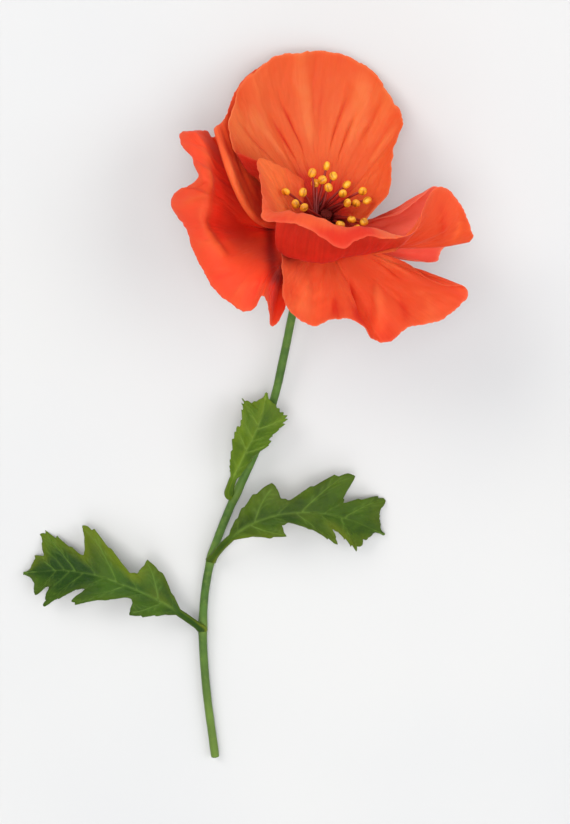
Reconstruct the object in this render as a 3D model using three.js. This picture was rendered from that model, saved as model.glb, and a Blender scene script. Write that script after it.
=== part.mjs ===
import * as THREE from 'three';

// Oriental poppy: one bloom as picked, lying on a surface.
// Millimetres. The nets below are in a bloom frame: origin at the base of the bloom, x to the right,
// y towards the top of the bloom, z towards a viewer who looks down on it. LAY_TILT turns that frame
// onto the surface, and the last lines set the lowest point at z = 0 and the middle of the box at x = y = 0.

// ---------- driving dimensions ----------
const LAY_TILT = 10;            // degrees between the bloom frame's z and the surface's normal
const PETAL_THICKNESS = 0.8;    // body of a petal, from face to face
const LEAF_THICKNESS = 0.9;     // body of a leaf at its midrib
const STEM_RADIUS = 1.55;       // round stem, cut square at its foot
const FILAMENT_RADIUS = 0.33;   // stalk of a stamen
const ANTHER_RADIUS = 1.35;     // pollen sac of a stamen
const ANTHER_LENGTH = 3.1;
const CLAW_SHARE = 0.28;        // share of a petal's length over which it leaves its claw
const BELLY_SHARE = 0.72;       // share of a petal's length where its belly lies
const PETAL_COLUMNS = 26;       // steps along a petal's rim
const PETAL_ROWS = 9;           // steps from a petal's claw to its rim
const LEAF_COLUMNS = 34;        // steps along a leaf's midrib
const LEAF_ROWS = 7;            // steps across a leaf
const STEM_SIDES = 8;
const STEM_STEPS = 60;
const STAMEN_SIDES = 8;
const AXIS = new THREE.Vector3(0.199775, 0.679237, 0.706206); // the way the bloom faces

// Each petal is a fan of ribs. A rib starts on a claw on the ring round the receptacle (azimuth and
// halfArc in degrees round the axis, ring radius, level along the axis), leaves it at the opening angle,
// swells through a belly point and ends on the rim. A rib is a cubic curve, and belly and leave give its
// two inner control points as [rib number, x, y, z] where a fold or a turned lip sets them by hand.
const PETALS = [
  { // the tall inner petal behind the stamens, cupped towards them
    name: 'petal_back', azimuth: 89, halfArc: 55, ring: 5, level: -0.6, opening: 84, bulge: 15,
    rim: [
      [-22.98, 20.33, 12.5], [-27.64, 22.05, 14], [-31.41, 23.19, 15], [-32.07, 28.54, 13.5], [-33.12, 34.6, 10], [-31.23, 41.34, 6],
      [-28.1, 47.83, 2.5], [-24, 52.5, 0], [-18.04, 56.22, -1.5], [-12.06, 58.31, -3.5], [-5.44, 59.26, -5.5], [1.82, 58.86, -6.5],
      [9.1, 56.7, -7.5], [15.16, 53.37, -7.5], [19.98, 48.75, -6.5], [24.15, 41.97, -4.5], [26.9, 34.3, -2], [24.39, 27.26, 1],
      [23, 19.42, 3], [22.03, 11.01, 5.5], [18.97, 4.45, 8.5], [14.2, 0.3, 9.5]],
    belly: [],
    leave: [] },
  { // the wide inner petal that makes the near wall of the cup and a lobe at the right
    name: 'petal_front', azimuth: 264, halfArc: 52, ring: 5, level: -0.2, opening: 88, bulge: 20,
    rim: [
      [-7.22, 14.13, -1.5], [-12.27, 17.66, 1.5], [-17.81, 19.88, 7.5], [-22.66, 20.73, 15], [-21.84, 15.02, 26], [-20.56, 6.53, 37.5],
      [-20.24, 0.84, 44], [-15.68, -0.28, 46.5], [-10.05, -0.84, 48.5], [-5.02, -2.51, 49.5], [-0.56, -5.85, 50.5], [3.34, -8.34, 51],
      [6.68, -9.29, 51], [10.01, -6.68, 51], [13.91, -5.01, 51], [17.81, -5.57, 50.5], [22.3, -6.02, 49.5], [26.85, -5.03, 47.5],
      [30.6, -1.68, 45], [32.69, 3.1, 42.5], [34.48, 7.91, 40.5], [36.85, 11.17, 38.5], [40.98, 10.81, 36], [44.53, 6.85, 34],
      [47.56, 1.43, 31.5], [50.04, -4.89, 29], [49.11, -7.22, 26]],
    belly: [
      [0, -7.19, 8.09, 0.5], [1, -9.57, 10.76, 2.5], [2, -12.48, 12.78, 6.5], [3, -15.92, 12.68, 12], [4, -16.39, 9.07, 17], [5, -14.95, 5.06, 31.79],
      [6, -7.75, 11.14, 32.34], [7, -3.65, 15.76, 36.99], [8, -1.81, 15.7, 39.94], [9, -0.49, 15.69, 41.23], [10, 1.95, 16.04, 40.87], [11, 3.89, 15.68, 41.32],
      [12, 7.14, 14.53, 42.57], [13, 10.4, 10.76, 42.56], [14, 12.57, 8.45, 41.3], [15, 16.65, 6.39, 37.96], [16, 20.4, 1.95, 32.53], [17, 23.28, -4.87, 26.2],
      [18, 23.34, -14.18, 19.03], [19, 26.09, -15.36, 23.67], [20, 29.58, -14.21, 23.33], [21, 33.08, -13.06, 23], [22, 35.41, -12.29, 22.67], [23, 37.76, -11.52, 22.33],
      [24, 40.1, -10.75, 22], [25, 39.61, -10.19, 20.5], [26, 39.11, -9.63, 19]],
    leave: [
      [5, -15.29, -10.07, 5.91], [6, -29.6, -22.15, 21.12], [7, -28.33, -28.86, 20.42], [8, -21.29, -31.6, 18.78], [9, -12.29, -34.43, 18.73], [10, -4.8, -35.61, 20.03],
      [11, 1.82, -34.3, 20.79], [12, 6.09, -32.27, 21], [13, 10.34, -28.77, 21.02], [14, 16.09, -26.7, 20.84], [15, 20.31, -24.92, 21.26], [16, 23.31, -22.5, 22.28],
      [17, 24.26, -18.51, 21.82], [18, 23.44, -11.46, 22.16]] },
  { // the outer petal that hangs under the cup, with a scalloped hem
    name: 'petal_lower', azimuth: 286, halfArc: 31, ring: 6.6, level: -3, opening: 96, bulge: -8,
    rim: [
      [-15.29, -10.29, 14], [-13.99, -18.07, 20], [-13.6, -24.01, 25], [-12.67, -29.09, 28], [-8.63, -32.5, 29], [-4.04, -35.5, 26.5],
      [-0.58, -34.9, 27], [2.3, -33.07, 29], [7.45, -32.63, 31], [12.05, -34.14, 30.5], [14.68, -36.84, 28.5], [15.6, -40.15, 26],
      [18.58, -41.4, 22.5], [21.99, -40.79, 25], [25.36, -38.04, 27.5], [29.38, -35.71, 28], [35.19, -35.19, 27], [40.5, -33.27, 25],
      [44.07, -29.86, 23.5], [48.56, -25.88, 21.5], [47.11, -22.68, 21.5], [41.38, -21.74, 20], [34.2, -19.58, 18], [27.6, -14.09, 15]],
    belly: [
      [0, -10.89, -9, 7.65], [1, -9.81, -14.27, 11.32], [2, -9.48, -18.3, 14.13], [3, -8.98, -22.03, 13.74], [4, -5.97, -24.2, 16.54], [5, -2.78, -26.22, 15.31],
      [6, -0.39, -25.81, 15.49], [7, 1.58, -24.58, 16.53], [8, 5.19, -24.47, 17.24], [9, 8.37, -25.37, 17.05], [10, 10.19, -27.23, 16], [11, 10.93, -29.29, 15.1],
      [12, 12.92, -29.99, 13.51], [13, 15.3, -29.7, 14.72], [14, 17.66, -27.91, 15.61], [15, 20.47, -26.47, 15.78], [16, 24.49, -26.05, 15.4], [17, 28.05, -24.63, 14.67],
      [18, 30.46, -22.22, 13.79], [19, 30.92, -17.6, 14.64], [20, 28.51, -16.24, 13.38], [21, 26.36, -15.44, 11.24], [22, 22.64, -12.22, 9.9], [23, 17.92, -10.92, 10.17]],
    leave: [
      [0, -5.28, -7.72, 1.83], [1, -4.75, -10.03, -0.07], [2, -4.52, -11.87, -1.52], [3, -3.96, -13.18, -1.37], [4, -2.76, -14.16, -0.2], [5, -1.3, -15.01, 1.39],
      [6, -0.19, -14.9, 1.14], [7, 0.81, -14.41, -0.14], [8, 2.39, -14.31, -1.13], [9, 3.88, -14.83, -0.84], [10, 4.62, -15.47, 0.49], [11, 4.87, -16.38, 1.81],
      [12, 5.82, -16.55, 3.93], [13, 6.94, -16.5, 2.41], [14, 8.22, -15.69, 1.17], [15, 9.43, -14.93, 0.96], [16, 11.11, -14.84, 1.55], [17, 12.85, -14.28, 2.65],
      [18, 13.9, -13.26, 3.76], [19, 13.38, -10.55, 4.81], [20, 12.75, -8.79, 4.66], [21, 9.91, -8.26, 5.59], [22, 8.64, -8.56, 6], [23, 8.04, -6.59, 5.35]] },
  { // the large outer petal at the left, waved into lobes, with one narrow tongue
    name: 'petal_left', azimuth: 204, halfArc: 29, ring: 6.5, level: -3, opening: 97, bulge: 4,
    rim: [
      [-29.53, 28.02, -3], [-34.9, 30.39, -2], [-39.06, 29.14, -1], [-40.92, 31.07, 3], [-45.01, 31.09, 9], [-49.6, 30, 7],
      [-48.29, 25.03, 13], [-44.95, 20.43, 19], [-42.36, 15.09, 23], [-45.53, 11.97, 19], [-49.98, 10.88, 14], [-53.52, 6.8, 10],
      [-51.23, 1.18, 13], [-47.35, -3.8, 18], [-44.81, -10.18, 21], [-41.14, -17.67, 24], [-36.34, -24.23, 27], [-32.26, -27.07, 28],
      [-27.61, -30.19, 29], [-23.53, -29.27, 30.5], [-20.87, -25.44, 33], [-19.27, -27.32, 29], [-19.38, -31.53, 25], [-18.62, -36.08, 21],
      [-15.76, -34.44, 19], [-13.45, -30.11, 18]],
    belly: [
      [0, -21.27, 15.5, -9], [1, -27.23, 15.43, -6], [2, -33.05, 15.32, -1], [3, -34.59, 19.7, 0.65], [4, -44.18, 33.02, 25.51], [5, -35.02, 24.39, 34.51],
      [6, -32.77, 21.44, 33.95], [7, -35.04, 17.86, 36.28], [8, -36.48, 15.29, 35.65], [9, -32.89, 12.24, 36.8], [10, -27.37, 7.31, 41.57], [11, -24.4, 3.32, 46.38],
      [12, -29.8, 0.35, 44.46], [13, -30.83, -4.35, 38.96], [14, -27.71, -6.27, 37.91], [15, -24.3, -7.56, 36.49], [16, -21.86, -6.05, 33.42], [17, -19.24, -6.2, 33.94],
      [18, -17.12, -5.19, 33.99], [19, -17.45, -8.11, 32.35], [20, -17.28, -12.71, 25.36], [21, -17.05, -13.4, 20.24], [22, -15.44, -13.71, 16.37], [23, -15.21, -16.44, 12.11],
      [24, -13.31, -13.36, 12.92], [25, -10.51, -11.72, 11.65]],
    leave: [
      [3, -17.28, -4.12, -8.09], [4, -15.72, -9.11, -24.95], [5, -23.57, -3.24, -29.48], [6, -28.56, -2.58, -28.01], [7, -28.79, -4.42, -27.67], [8, -29.57, -5.44, -25.68],
      [9, -33.96, -6.57, -24.56], [10, -38.98, -5.12, -27.43], [11, -41.39, -3.79, -30.53], [12, -37.48, -4.4, -28.48], [13, -35.26, -4.44, -22.72], [14, -33.19, -7.87, -18.94],
      [15, -29.42, -10.8, -13.62], [16, -25.17, -14.74, -6.96], [17, -20.94, -16.76, -3.97], [18, -18, -18.99, -4.28], [19, -14.41, -18.25, -5.76], [20, -11.71, -14.68, -6.75],
      [21, -10.23, -15.19, -6.6], [22, -10.93, -16.93, -6.25], [23, -10.67, -16.59, -4.36], [24, -9.23, -16.47, -2.15], [25, -8.48, -15.84, -2.14]] },
  { // the outer petal between the left one and the back one, with a folded near edge
    name: 'petal_back_left', azimuth: 144, halfArc: 18, ring: 6.4, level: -1.6, opening: 90, bulge: 11,
    rim: [
      [-37.85, 30.46, 10], [-37.56, 31.94, 10], [-35.69, 34.2, 6], [-33.6, 39.3, 0], [-31.33, 45.49, -3], [-25.38, 52.27, -5],
      [-15.82, 56.89, -9.8], [-5.5, 57.18, -13.5], [4.29, 53.58, -14.4]],
    belly: [
      [0, -29.29, 3.68, 30.58], [1, -27.51, 4.2, 31.44], [2, -28.18, 10.16, 14.63], [3, -25.15, 16.32, 1.79], [4, -20.05, 25.22, -9]],
    leave: [
      [0, -25, -9.57, 1.57], [1, -24.28, -7.46, 3.34], [2, -20.33, -4.16, 3.38], [3, -19.49, 2.9, -1.77]] },
  { // the small outer petal behind the right lobe
    name: 'petal_right', azimuth: 356, halfArc: 37, ring: 6.4, level: -2.2, opening: 92, bulge: 8,
    rim: [
      [16.11, -0.3, 4], [22.04, 1.01, 5], [26.77, 2.38, 6], [30.91, 5.65, 6.5], [34.48, 9.21, 6.5], [38.07, 12.02, 6],
      [43.42, 8.03, 6], [46.27, 0.89, 8], [44.45, -6.22, 8.5], [40.57, -10.96, 9], [37.91, -14.51, 9], [27.88, -12.75, 8]],
    belly: [],
    leave: [] }
];

// Each leaf follows its spine from the stalk's foot to the tip. left and right give the reach of the lobes
// on each side as [place along the blade, share of reach]; slant turns the lobes towards the tip.
const LEAVES = [
  { // a small leaf close along the stem
    name: 'leaf_upper', reach: 11, stalk: 0.14, stalkHalf: 0.9, slant: 34, roll: 6, cup: -0.2,
    spine: [
      [-35.49, -101.36, -36.76], [-33.28, -94.49, -32.5], [-29.98, -87.12, -28.56], [-26.12, -79.29, -25.56], [-22.97, -71.72, -24.42], [-21.15, -63.14, -25.76]],
    left: [
      [0, 0], [0.3, 0.62], [0.44, 0.7], [0.52, 0.6], [0.62, 0.86], [0.72, 0.92], [0.8, 0.66], [0.88, 0.62], [0.94, 0.36],
      [1, 0]],
    right: [
      [0, 0], [0.22, 0.46], [0.4, 0.78], [0.48, 0.66], [0.58, 0.94], [0.68, 0.98], [0.76, 0.7], [0.86, 0.66], [0.93, 0.36],
      [1, 0]] },
  { // a lobed leaf that arches out to the right and droops to the surface
    name: 'leaf_right', reach: 21, stalk: 0.16, stalkHalf: 0.9, slant: 44, roll: -8, cup: -0.16,
    spine: [
      [-42.21, -127.44, -41.56], [-37.23, -120.83, -36.13], [-28.18, -113.02, -30.49], [-15.59, -108.21, -27.61], [-1.87, -107.81, -29.16], [11.35, -111.94, -35.78],
      [22.95, -118.23, -43.59]],
    left: [
      [0, 0], [0.1, 0.22], [0.2, 0.62], [0.24, 0.66], [0.29, 0.34], [0.34, 0.28], [0.44, 0.74], [0.5, 0.98], [0.545, 0.86],
      [0.58, 0.42], [0.62, 0.34], [0.7, 0.66], [0.75, 0.78], [0.79, 0.62], [0.83, 0.34], [0.92, 0.24], [1, 0]],
    right: [
      [0, 0], [0.08, 0.18], [0.16, 0.5], [0.21, 0.56], [0.26, 0.28], [0.32, 0.26], [0.42, 0.66], [0.47, 0.84], [0.51, 0.74],
      [0.55, 0.36], [0.6, 0.34], [0.68, 0.62], [0.73, 0.74], [0.77, 0.56], [0.81, 0.32], [0.91, 0.22], [1, 0]] },
  { // the largest lobed leaf, arching out to the left and drooping to the surface
    name: 'leaf_left', reach: 23, stalk: 0.15, stalkHalf: 0.9, slant: 42, roll: 8, cup: -0.14,
    spine: [
      [-46.98, -155.2, -46.66], [-52.76, -149.7, -41.63], [-61.26, -143.04, -36.8], [-72.97, -136.81, -33.87], [-85.72, -132.68, -35.38], [-99.56, -131.59, -39.86],
      [-114.4, -133.9, -45.64]],
    left: [
      [0, 0], [0.07, 0.16], [0.14, 0.44], [0.18, 0.5], [0.22, 0.26], [0.27, 0.24], [0.36, 0.66], [0.41, 0.86], [0.45, 0.76],
      [0.49, 0.38], [0.53, 0.34], [0.61, 0.7], [0.66, 0.88], [0.7, 0.72], [0.74, 0.38], [0.78, 0.32], [0.83, 0.5], [0.86, 0.46],
      [0.89, 0.26], [0.94, 0.18], [1, 0]],
    right: [
      [0, 0], [0.09, 0.2], [0.17, 0.54], [0.21, 0.58], [0.26, 0.3], [0.31, 0.28], [0.41, 0.74], [0.46, 0.96], [0.5, 0.84],
      [0.54, 0.4], [0.58, 0.36], [0.66, 0.68], [0.71, 0.82], [0.75, 0.64], [0.79, 0.34], [0.84, 0.34], [0.88, 0.28], [0.94, 0.18],
      [1, 0]] }
];

// Centre line of the stem, from under the receptacle to the cut foot.
const STEM_PATH = [
  [-1.59, -5.4, -5.61], [-2.7, -9.17, -9.53], [-7.65, -17.44, -14.04], [-11.25, -32.46, -21.36], [-14.65, -48.94, -27.31],
  [-18.83, -66.84, -32.2], [-26.21, -87.46, -36.75], [-35.56, -108.27, -40.82], [-43.08, -129.24, -44.62], [-46.21, -151.77, -48.69],
  [-45.55, -178.01, -53.83], [-42.32, -208.69, -59.64]
];

// Stamens: [foot, middle, tip] of each filament, in a double ring round the ovary.
const STAMENS = [
  [[-1.19, -1.9, 3.51], [-4.11, 4.74, 8.11], [-7.39, 9.73, 10.99]],
  [[-0.98, -1.17, 2.75], [-6.54, 5.75, 7.46], [-13.27, 9.93, 11.77]],
  [[0.33, -2.29, 3.46], [-4.44, 2.83, 9.38], [-9.88, 5.7, 13.47]],
  [[1.14, -1.72, 2.68], [-2.66, 2.72, 9.43], [-6.92, 4.53, 15.03]],
  [[2.1, -2.18, 2.85], [-1.37, -0.03, 10.65], [-4.98, -0.29, 17.26]],
  [[2.86, -1.27, 1.76], [0.84, -1.11, 12.38], [-1.16, -3.77, 21.25]],
  [[3.81, -1.07, 1.3], [3.3, -2.19, 11.52], [3.2, -5.24, 20.28]],
  [[3.23, -0.34, 0.75], [4.13, 0.34, 10.06], [5.5, -1.23, 17.47]],
  [[4.16, 0.05, 0.12], [5.63, -1.54, 10.93], [7.35, -4.95, 20.1]],
  [[3.13, 0.61, -0.13], [5.99, 1.41, 8.53], [9.39, 0.41, 15.08]],
  [[3.83, 1.28, -0.97], [7.54, -0.14, 7.94], [11.16, -2.65, 15.38]],
  [[2.71, 1.64, -1], [7.88, 1.89, 7.42], [13.65, -0.38, 13.54]],
  [[2.46, 2.49, -1.75], [5.49, 4.17, 5.54], [7.96, 6.12, 9.67]],
  [[1.06, 2.76, -1.61], [6.03, 6.03, 4.2], [11.02, 6, 7.63]],
  [[0.36, 3.54, -2.16], [7.91, 6.06, 2.27], [14.9, 6.98, 4.93]],
  [[-0.38, 3.03, -1.47], [6.57, 7.36, 2.75], [13.29, 10.21, 4.28]],
  [[-1.47, 3.53, -1.64], [3.35, 6.75, 2.47], [6.39, 9.42, 4.66]],
  [[-2.45, 2.94, -0.78], [3.02, 8.79, 3.14], [7.76, 12.53, 3.66]],
  [[-3.38, 2.42, -0.03], [0.56, 9.81, 1.63], [3.12, 15.51, 1.16]],
  [[-2.64, 1.76, 0.4], [0.18, 7.35, 2.63], [1.42, 11.48, 3.3]],
  [[-3.78, 1.28, 1.18], [-0.88, 11.19, 1.61], [0.77, 19.03, -0.25]],
  [[-2.98, 0.66, 1.55], [-1.04, 8.11, 2.79], [-0.69, 14.18, 3.48]],
  [[-3.44, -0.03, 2.34], [-3.51, 9.35, 4.32], [-4.26, 16.52, 3.94]],
  [[-2.44, -0.64, 2.65], [-2.28, 7.4, 3.97], [-3.21, 13.03, 2.03]]
];

// Turned profiles round the axis, as [radius, height].
const RECEPTACLE_PROFILE = [[0, -7.6], [1.75, -7.6], [2.2, -6.7], [3.8, -5.8], [5.8, -5.05], [6.5, -4.85], [6.5, -4.6], [5.85, -4.3], [5.8, -2], [5.3, -1.5], [4.5, -1.2], [4.45, 0.1], [4.2, 0.4], [0, 0.4]];
const OVARY_PROFILE = [[0, 0.7], [1.4, 0.7], [1.75, 1.1], [1.95, 1.8], [1.95, 2.4], [1.65, 3], [1.45, 3.2], [1.85, 3.35], [2.05, 3.6], [1.95, 3.85], [1, 4.1], [0, 4.15]];

// ---------- colours ----------
const material = (color, roughness, metalness = 0) => new THREE.MeshStandardMaterial({ color, roughness, metalness, side: THREE.FrontSide });
const PETAL_RED = material(0xe8512d, 0.7);
const STEM_GREEN = material(0x4f7b3c, 0.6);
const LEAF_GREEN = material(0x4c7a26, 0.55);
const ANTHER_YELLOW = material(0xe9a520, 0.5);
const OVARY_GREEN = material(0x8b8f3a, 0.6);

// ---------- helpers ----------
const DEG = Math.PI / 180;
const vec = (a) => new THREE.Vector3(a[0], a[1], a[2]);
AXIS.normalize();
const SIDE_1 = new THREE.Vector3(1, 0, 0).addScaledVector(AXIS, -AXIS.x).normalize();
const SIDE_2 = new THREE.Vector3().crossVectors(AXIS, SIDE_1);

// direction at an opening angle from the axis and an azimuth round it
function heading(opening, azimuth) {
  const s = Math.sin(opening * DEG);
  return new THREE.Vector3()
    .addScaledVector(AXIS, Math.cos(opening * DEG))
    .addScaledVector(SIDE_1, s * Math.cos(azimuth * DEG))
    .addScaledVector(SIDE_2, s * Math.sin(azimuth * DEG));
}
const openingOf = (p) => Math.acos(THREE.MathUtils.clamp(p.dot(AXIS) / p.length(), -1, 1)) / DEG;
const azimuthOf = (p) => (Math.atan2(p.dot(SIDE_2), p.dot(SIDE_1)) / DEG + 360) % 360;
const turn = (a, b) => ((((a - b + 180) % 360) + 360) % 360) - 180;

// smooth curve through a row of points, u counts points
function through(points, u) {
  const n = points.length;
  const i = Math.min(Math.max(Math.floor(u), 0), n - 2);
  const t = u - i;
  const at = (k) => {
    if (k < 0) return points[0].clone().multiplyScalar(2).sub(points[1]);
    if (k > n - 1) return points[n - 1].clone().multiplyScalar(2).sub(points[n - 2]);
    return points[k];
  };
  const p0 = at(i - 1), p1 = at(i), p2 = at(i + 1), p3 = at(i + 2);
  const f = (a, b, c, d) => 0.5 * (2 * b + (c - a) * t + (2 * a - 5 * b + 4 * c - d) * t * t + (-a + 3 * b - 3 * c + d) * t * t * t);
  return new THREE.Vector3(f(p0.x, p1.x, p2.x, p3.x), f(p0.y, p1.y, p2.y, p3.y), f(p0.z, p1.z, p2.z, p3.z));
}

// share of the length at each point of a row
function shares(points) {
  const out = [0];
  for (let i = 1; i < points.length; i++) out.push(out[i - 1] + points[i].distanceTo(points[i - 1]));
  return out.map((v) => v / out[out.length - 1]);
}

// place u (counting points) at share s of the length
function placeAt(cum, s) {
  for (let i = 0; i < cum.length - 1; i++) {
    if (s <= cum[i + 1]) return i + (cum[i + 1] > cum[i] ? (s - cum[i]) / (cum[i + 1] - cum[i]) : 0);
  }
  return cum.length - 1;
}

// linear table lookup
function lookup(table, x) {
  if (x <= table[0][0]) return table[0][1];
  for (let i = 1; i < table.length; i++) {
    if (x <= table[i][0]) {
      const [x0, y0] = table[i - 1], [x1, y1] = table[i];
      return y0 + ((y1 - y0) * (x - x0)) / (x1 - x0);
    }
  }
  return table[table.length - 1][1];
}

// closed body of even thickness about a grid of points
function bodyAbout(grid, thickness) {
  const nu = grid.length, nv = grid[0].length;
  const slope = (a, b, c, first, last) => (first ? c.clone().sub(b) : last ? b.clone().sub(a) : c.clone().sub(a).multiplyScalar(0.5));
  const upper = [], lower = [];
  for (let i = 0; i < nu; i++) {
    for (let j = 0; j < nv; j++) {
      const p = grid[i][j];
      const du = slope(grid[Math.max(i - 1, 0)][j], p, grid[Math.min(i + 1, nu - 1)][j], i === 0, i === nu - 1);
      const dv = slope(grid[i][Math.max(j - 1, 0)], p, grid[i][Math.min(j + 1, nv - 1)], j === 0, j === nv - 1);
      const n = du.cross(dv);
      if (n.length() > 1e-9) n.normalize();
      upper.push(p.clone().addScaledVector(n, thickness / 2));
      lower.push(p.clone().addScaledVector(n, -thickness / 2));
    }
  }
  const points = upper.concat(lower), o = nu * nv, tris = [];
  const id = (i, j) => i * nv + j;
  for (let i = 0; i < nu - 1; i++) {
    for (let j = 0; j < nv - 1; j++) {
      const a = id(i, j), b = id(i + 1, j), c = id(i + 1, j + 1), e = id(i, j + 1);
      const d1 = grid[i][j].distanceTo(grid[i + 1][j + 1]), d2 = grid[i + 1][j].distanceTo(grid[i][j + 1]);
      const pair = d1 <= d2 ? [[a, b, c], [a, c, e]] : [[a, b, e], [b, c, e]];
      for (const [x, y, z] of pair) tris.push([x, y, z], [x + o, z + o, y + o]);
    }
  }
  const edge = [];
  for (let i = 0; i < nu; i++) edge.push(id(i, 0));
  for (let j = 1; j < nv; j++) edge.push(id(nu - 1, j));
  for (let i = nu - 2; i >= 0; i--) edge.push(id(i, nv - 1));
  for (let j = nv - 2; j > 0; j--) edge.push(id(0, j));
  for (let k = 0; k < edge.length; k++) {
    const a = edge[k], b = edge[(k + 1) % edge.length];
    tris.push([a, a + o, b + o], [a, b + o, b]);
  }
  return meshOf(points, tris);
}

// geometry from points and triangles, turned to face out
function meshOf(points, tris) {
  let volume = 0;
  for (const [a, b, c] of tris) volume += points[a].dot(new THREE.Vector3().crossVectors(points[b], points[c]));
  const position = new Float32Array(points.length * 3);
  points.forEach((p, i) => p.toArray(position, i * 3));
  const index = [];
  for (const [a, b, c] of tris) volume > 0 ? index.push(a, b, c) : index.push(a, c, b);
  const g = new THREE.BufferGeometry();
  g.setAttribute('position', new THREE.BufferAttribute(position, 3));
  g.setIndex(index);
  g.computeVertexNormals();
  return g;
}

// ---------- petals ----------
function petalGeometry(spec) {
  const rim = spec.rim.map(vec);
  const n = rim.length;
  const cum = shares(rim);
  const way = turn(azimuthOf(rim[n - 1]), spec.azimuth) > turn(azimuthOf(rim[0]), spec.azimuth) ? 1 : -1;
  const claw = [], leave = [], belly = [];
  for (let j = 0; j < n; j++) {
    const r = rim[j].length(), opening = openingOf(rim[j]), azimuth = azimuthOf(rim[j]);
    const foot = spec.azimuth + way * (2 * cum[j] - 1) * spec.halfArc;
    claw.push(heading(90, foot).multiplyScalar(spec.ring).addScaledVector(AXIS, spec.level));
    const out = spec.leave.find((b) => b[0] === j);
    leave.push(out ? vec(out.slice(1)) : claw[j].clone().addScaledVector(heading(spec.opening, foot + 0.35 * turn(azimuth, foot)), CLAW_SHARE * r));
    const set = spec.belly.find((b) => b[0] === j);
    belly.push(set ? vec(set.slice(1)) : heading(opening + spec.bulge, azimuth - 0.1 * turn(azimuth, foot)).multiplyScalar(BELLY_SHARE * r));
  }
  const nu = Math.max(PETAL_COLUMNS, n), grid = [];
  for (let i = 0; i < nu; i++) {
    const u = placeAt(cum, i / (nu - 1));
    const a = through(claw, u), b = through(leave, u), c = through(belly, u), d = through(rim, u);
    const rib = new THREE.CubicBezierCurve3(a, b, c, d), row = [];
    for (let j = 0; j < PETAL_ROWS; j++) row.push(rib.getPoint(j / (PETAL_ROWS - 1)));
    grid.push(row);
  }
  return bodyAbout(grid, PETAL_THICKNESS);
}

// ---------- leaves ----------
function leafGeometry(spec) {
  const spine = spec.spine.map(vec);
  const cum = shares(spine);
  let length = 0;
  for (let i = 1; i < spine.length; i++) length += spine[i].distanceTo(spine[i - 1]);
  const up = new THREE.Vector3(0, -Math.sin(LAY_TILT * DEG), Math.cos(LAY_TILT * DEG));
  const roll = spec.roll * DEG, grid = [];
  for (let i = 0; i < LEAF_COLUMNS; i++) {
    const s = i / (LEAF_COLUMNS - 1);
    const p = through(spine, placeAt(cum, s));
    const t = through(spine, placeAt(cum, Math.min(1, s + 1e-3))).sub(through(spine, placeAt(cum, Math.max(0, s - 1e-3)))).normalize();
    const l0 = new THREE.Vector3().crossVectors(up, t).normalize();
    const n0 = new THREE.Vector3().crossVectors(t, l0);
    const l = l0.clone().multiplyScalar(Math.cos(roll)).addScaledVector(n0, Math.sin(roll));
    const nn = n0.clone().multiplyScalar(Math.cos(roll)).addScaledVector(l0, -Math.sin(roll));
    const slant = spec.slant * DEG * Math.min(1, Math.max(0, (s - spec.stalk) * 5));
    const row = [];
    for (let j = 0; j < LEAF_ROWS; j++) {
      const v = (2 * j) / (LEAF_ROWS - 1) - 1, a = Math.abs(v);
      let w = spec.stalkHalf;
      if (s >= spec.stalk) {
        const x = (s - spec.stalk) / (1 - spec.stalk);
        w = Math.max(spec.reach * lookup(v > 0 ? spec.left : spec.right, x), spec.stalkHalf * (1 - x) + 0.35 * x);
      }
      const forward = Math.min(w * a * Math.sin(slant), (1 - s) * length * 0.85 * a);
      row.push(p.clone().addScaledVector(l, v * w * Math.cos(slant)).addScaledVector(t, forward).addScaledVector(nn, spec.cup * w * Math.pow(a, 1.7)));
    }
    grid.push(row);
  }
  return bodyAbout(grid, LEAF_THICKNESS);
}

// ---------- stem ----------
function stemGeometry() {
  const path = new THREE.CatmullRomCurve3(STEM_PATH.map(vec), false, 'catmullrom', 0.5);
  const section = new THREE.Shape();
  for (let k = 0; k < STEM_SIDES; k++) {
    const a = (2 * Math.PI * (k + 0.5)) / STEM_SIDES;
    const x = STEM_RADIUS * Math.cos(a), y = STEM_RADIUS * Math.sin(a);
    k === 0 ? section.moveTo(x, y) : section.lineTo(x, y);
  }
  section.closePath();
  return new THREE.ExtrudeGeometry(section, { steps: STEM_STEPS, bevelEnabled: false, extrudePath: path });
}

// ---------- stamens: a turned stalk with its pollen sac, bent along foot - middle - tip ----------
function stamenGeometry(foot, middle, tip) {
  const b = vec(foot), m = vec(middle), t = vec(tip);
  const length = m.distanceTo(b) + t.distanceTo(m);
  const start = length - ANTHER_LENGTH / 2;
  const profile = [new THREE.Vector2(0, 0)];
  for (let i = 0; i <= 5; i++) profile.push(new THREE.Vector2(FILAMENT_RADIUS, (i / 5) * (start - 0.1)));
  for (let i = 0; i < 6; i++) {
    const q = 0.12 + (0.88 * i) / 5, a = Math.PI * q;
    const radius = i === 5 ? 0 : ANTHER_RADIUS * Math.pow(Math.sin(a), 0.8);
    profile.push(new THREE.Vector2(radius, start + (ANTHER_LENGTH * (1 - Math.cos(a))) / 2));
  }
  const g = new THREE.LatheGeometry(profile, STAMEN_SIDES);
  const bend = new THREE.QuadraticBezierCurve3(b, m, t);
  const p = g.attributes.position;
  for (let i = 0; i < p.count; i++) {
    const u = p.getY(i) / length;
    const c = u <= 1 ? bend.getPoint(u) : t.clone().addScaledVector(t.clone().sub(m), 2 * (u - 1));
    const d = u <= 1 ? bend.getTangent(u) : t.clone().sub(m).normalize();
    const e = SIDE_1.clone().addScaledVector(d, -SIDE_1.dot(d)).normalize();
    const f = new THREE.Vector3().crossVectors(d, e);
    c.addScaledVector(e, p.getX(i)).addScaledVector(f, -p.getZ(i));
    p.setXYZ(i, c.x, c.y, c.z);
  }
  g.computeVertexNormals();
  return g;
}

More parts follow.
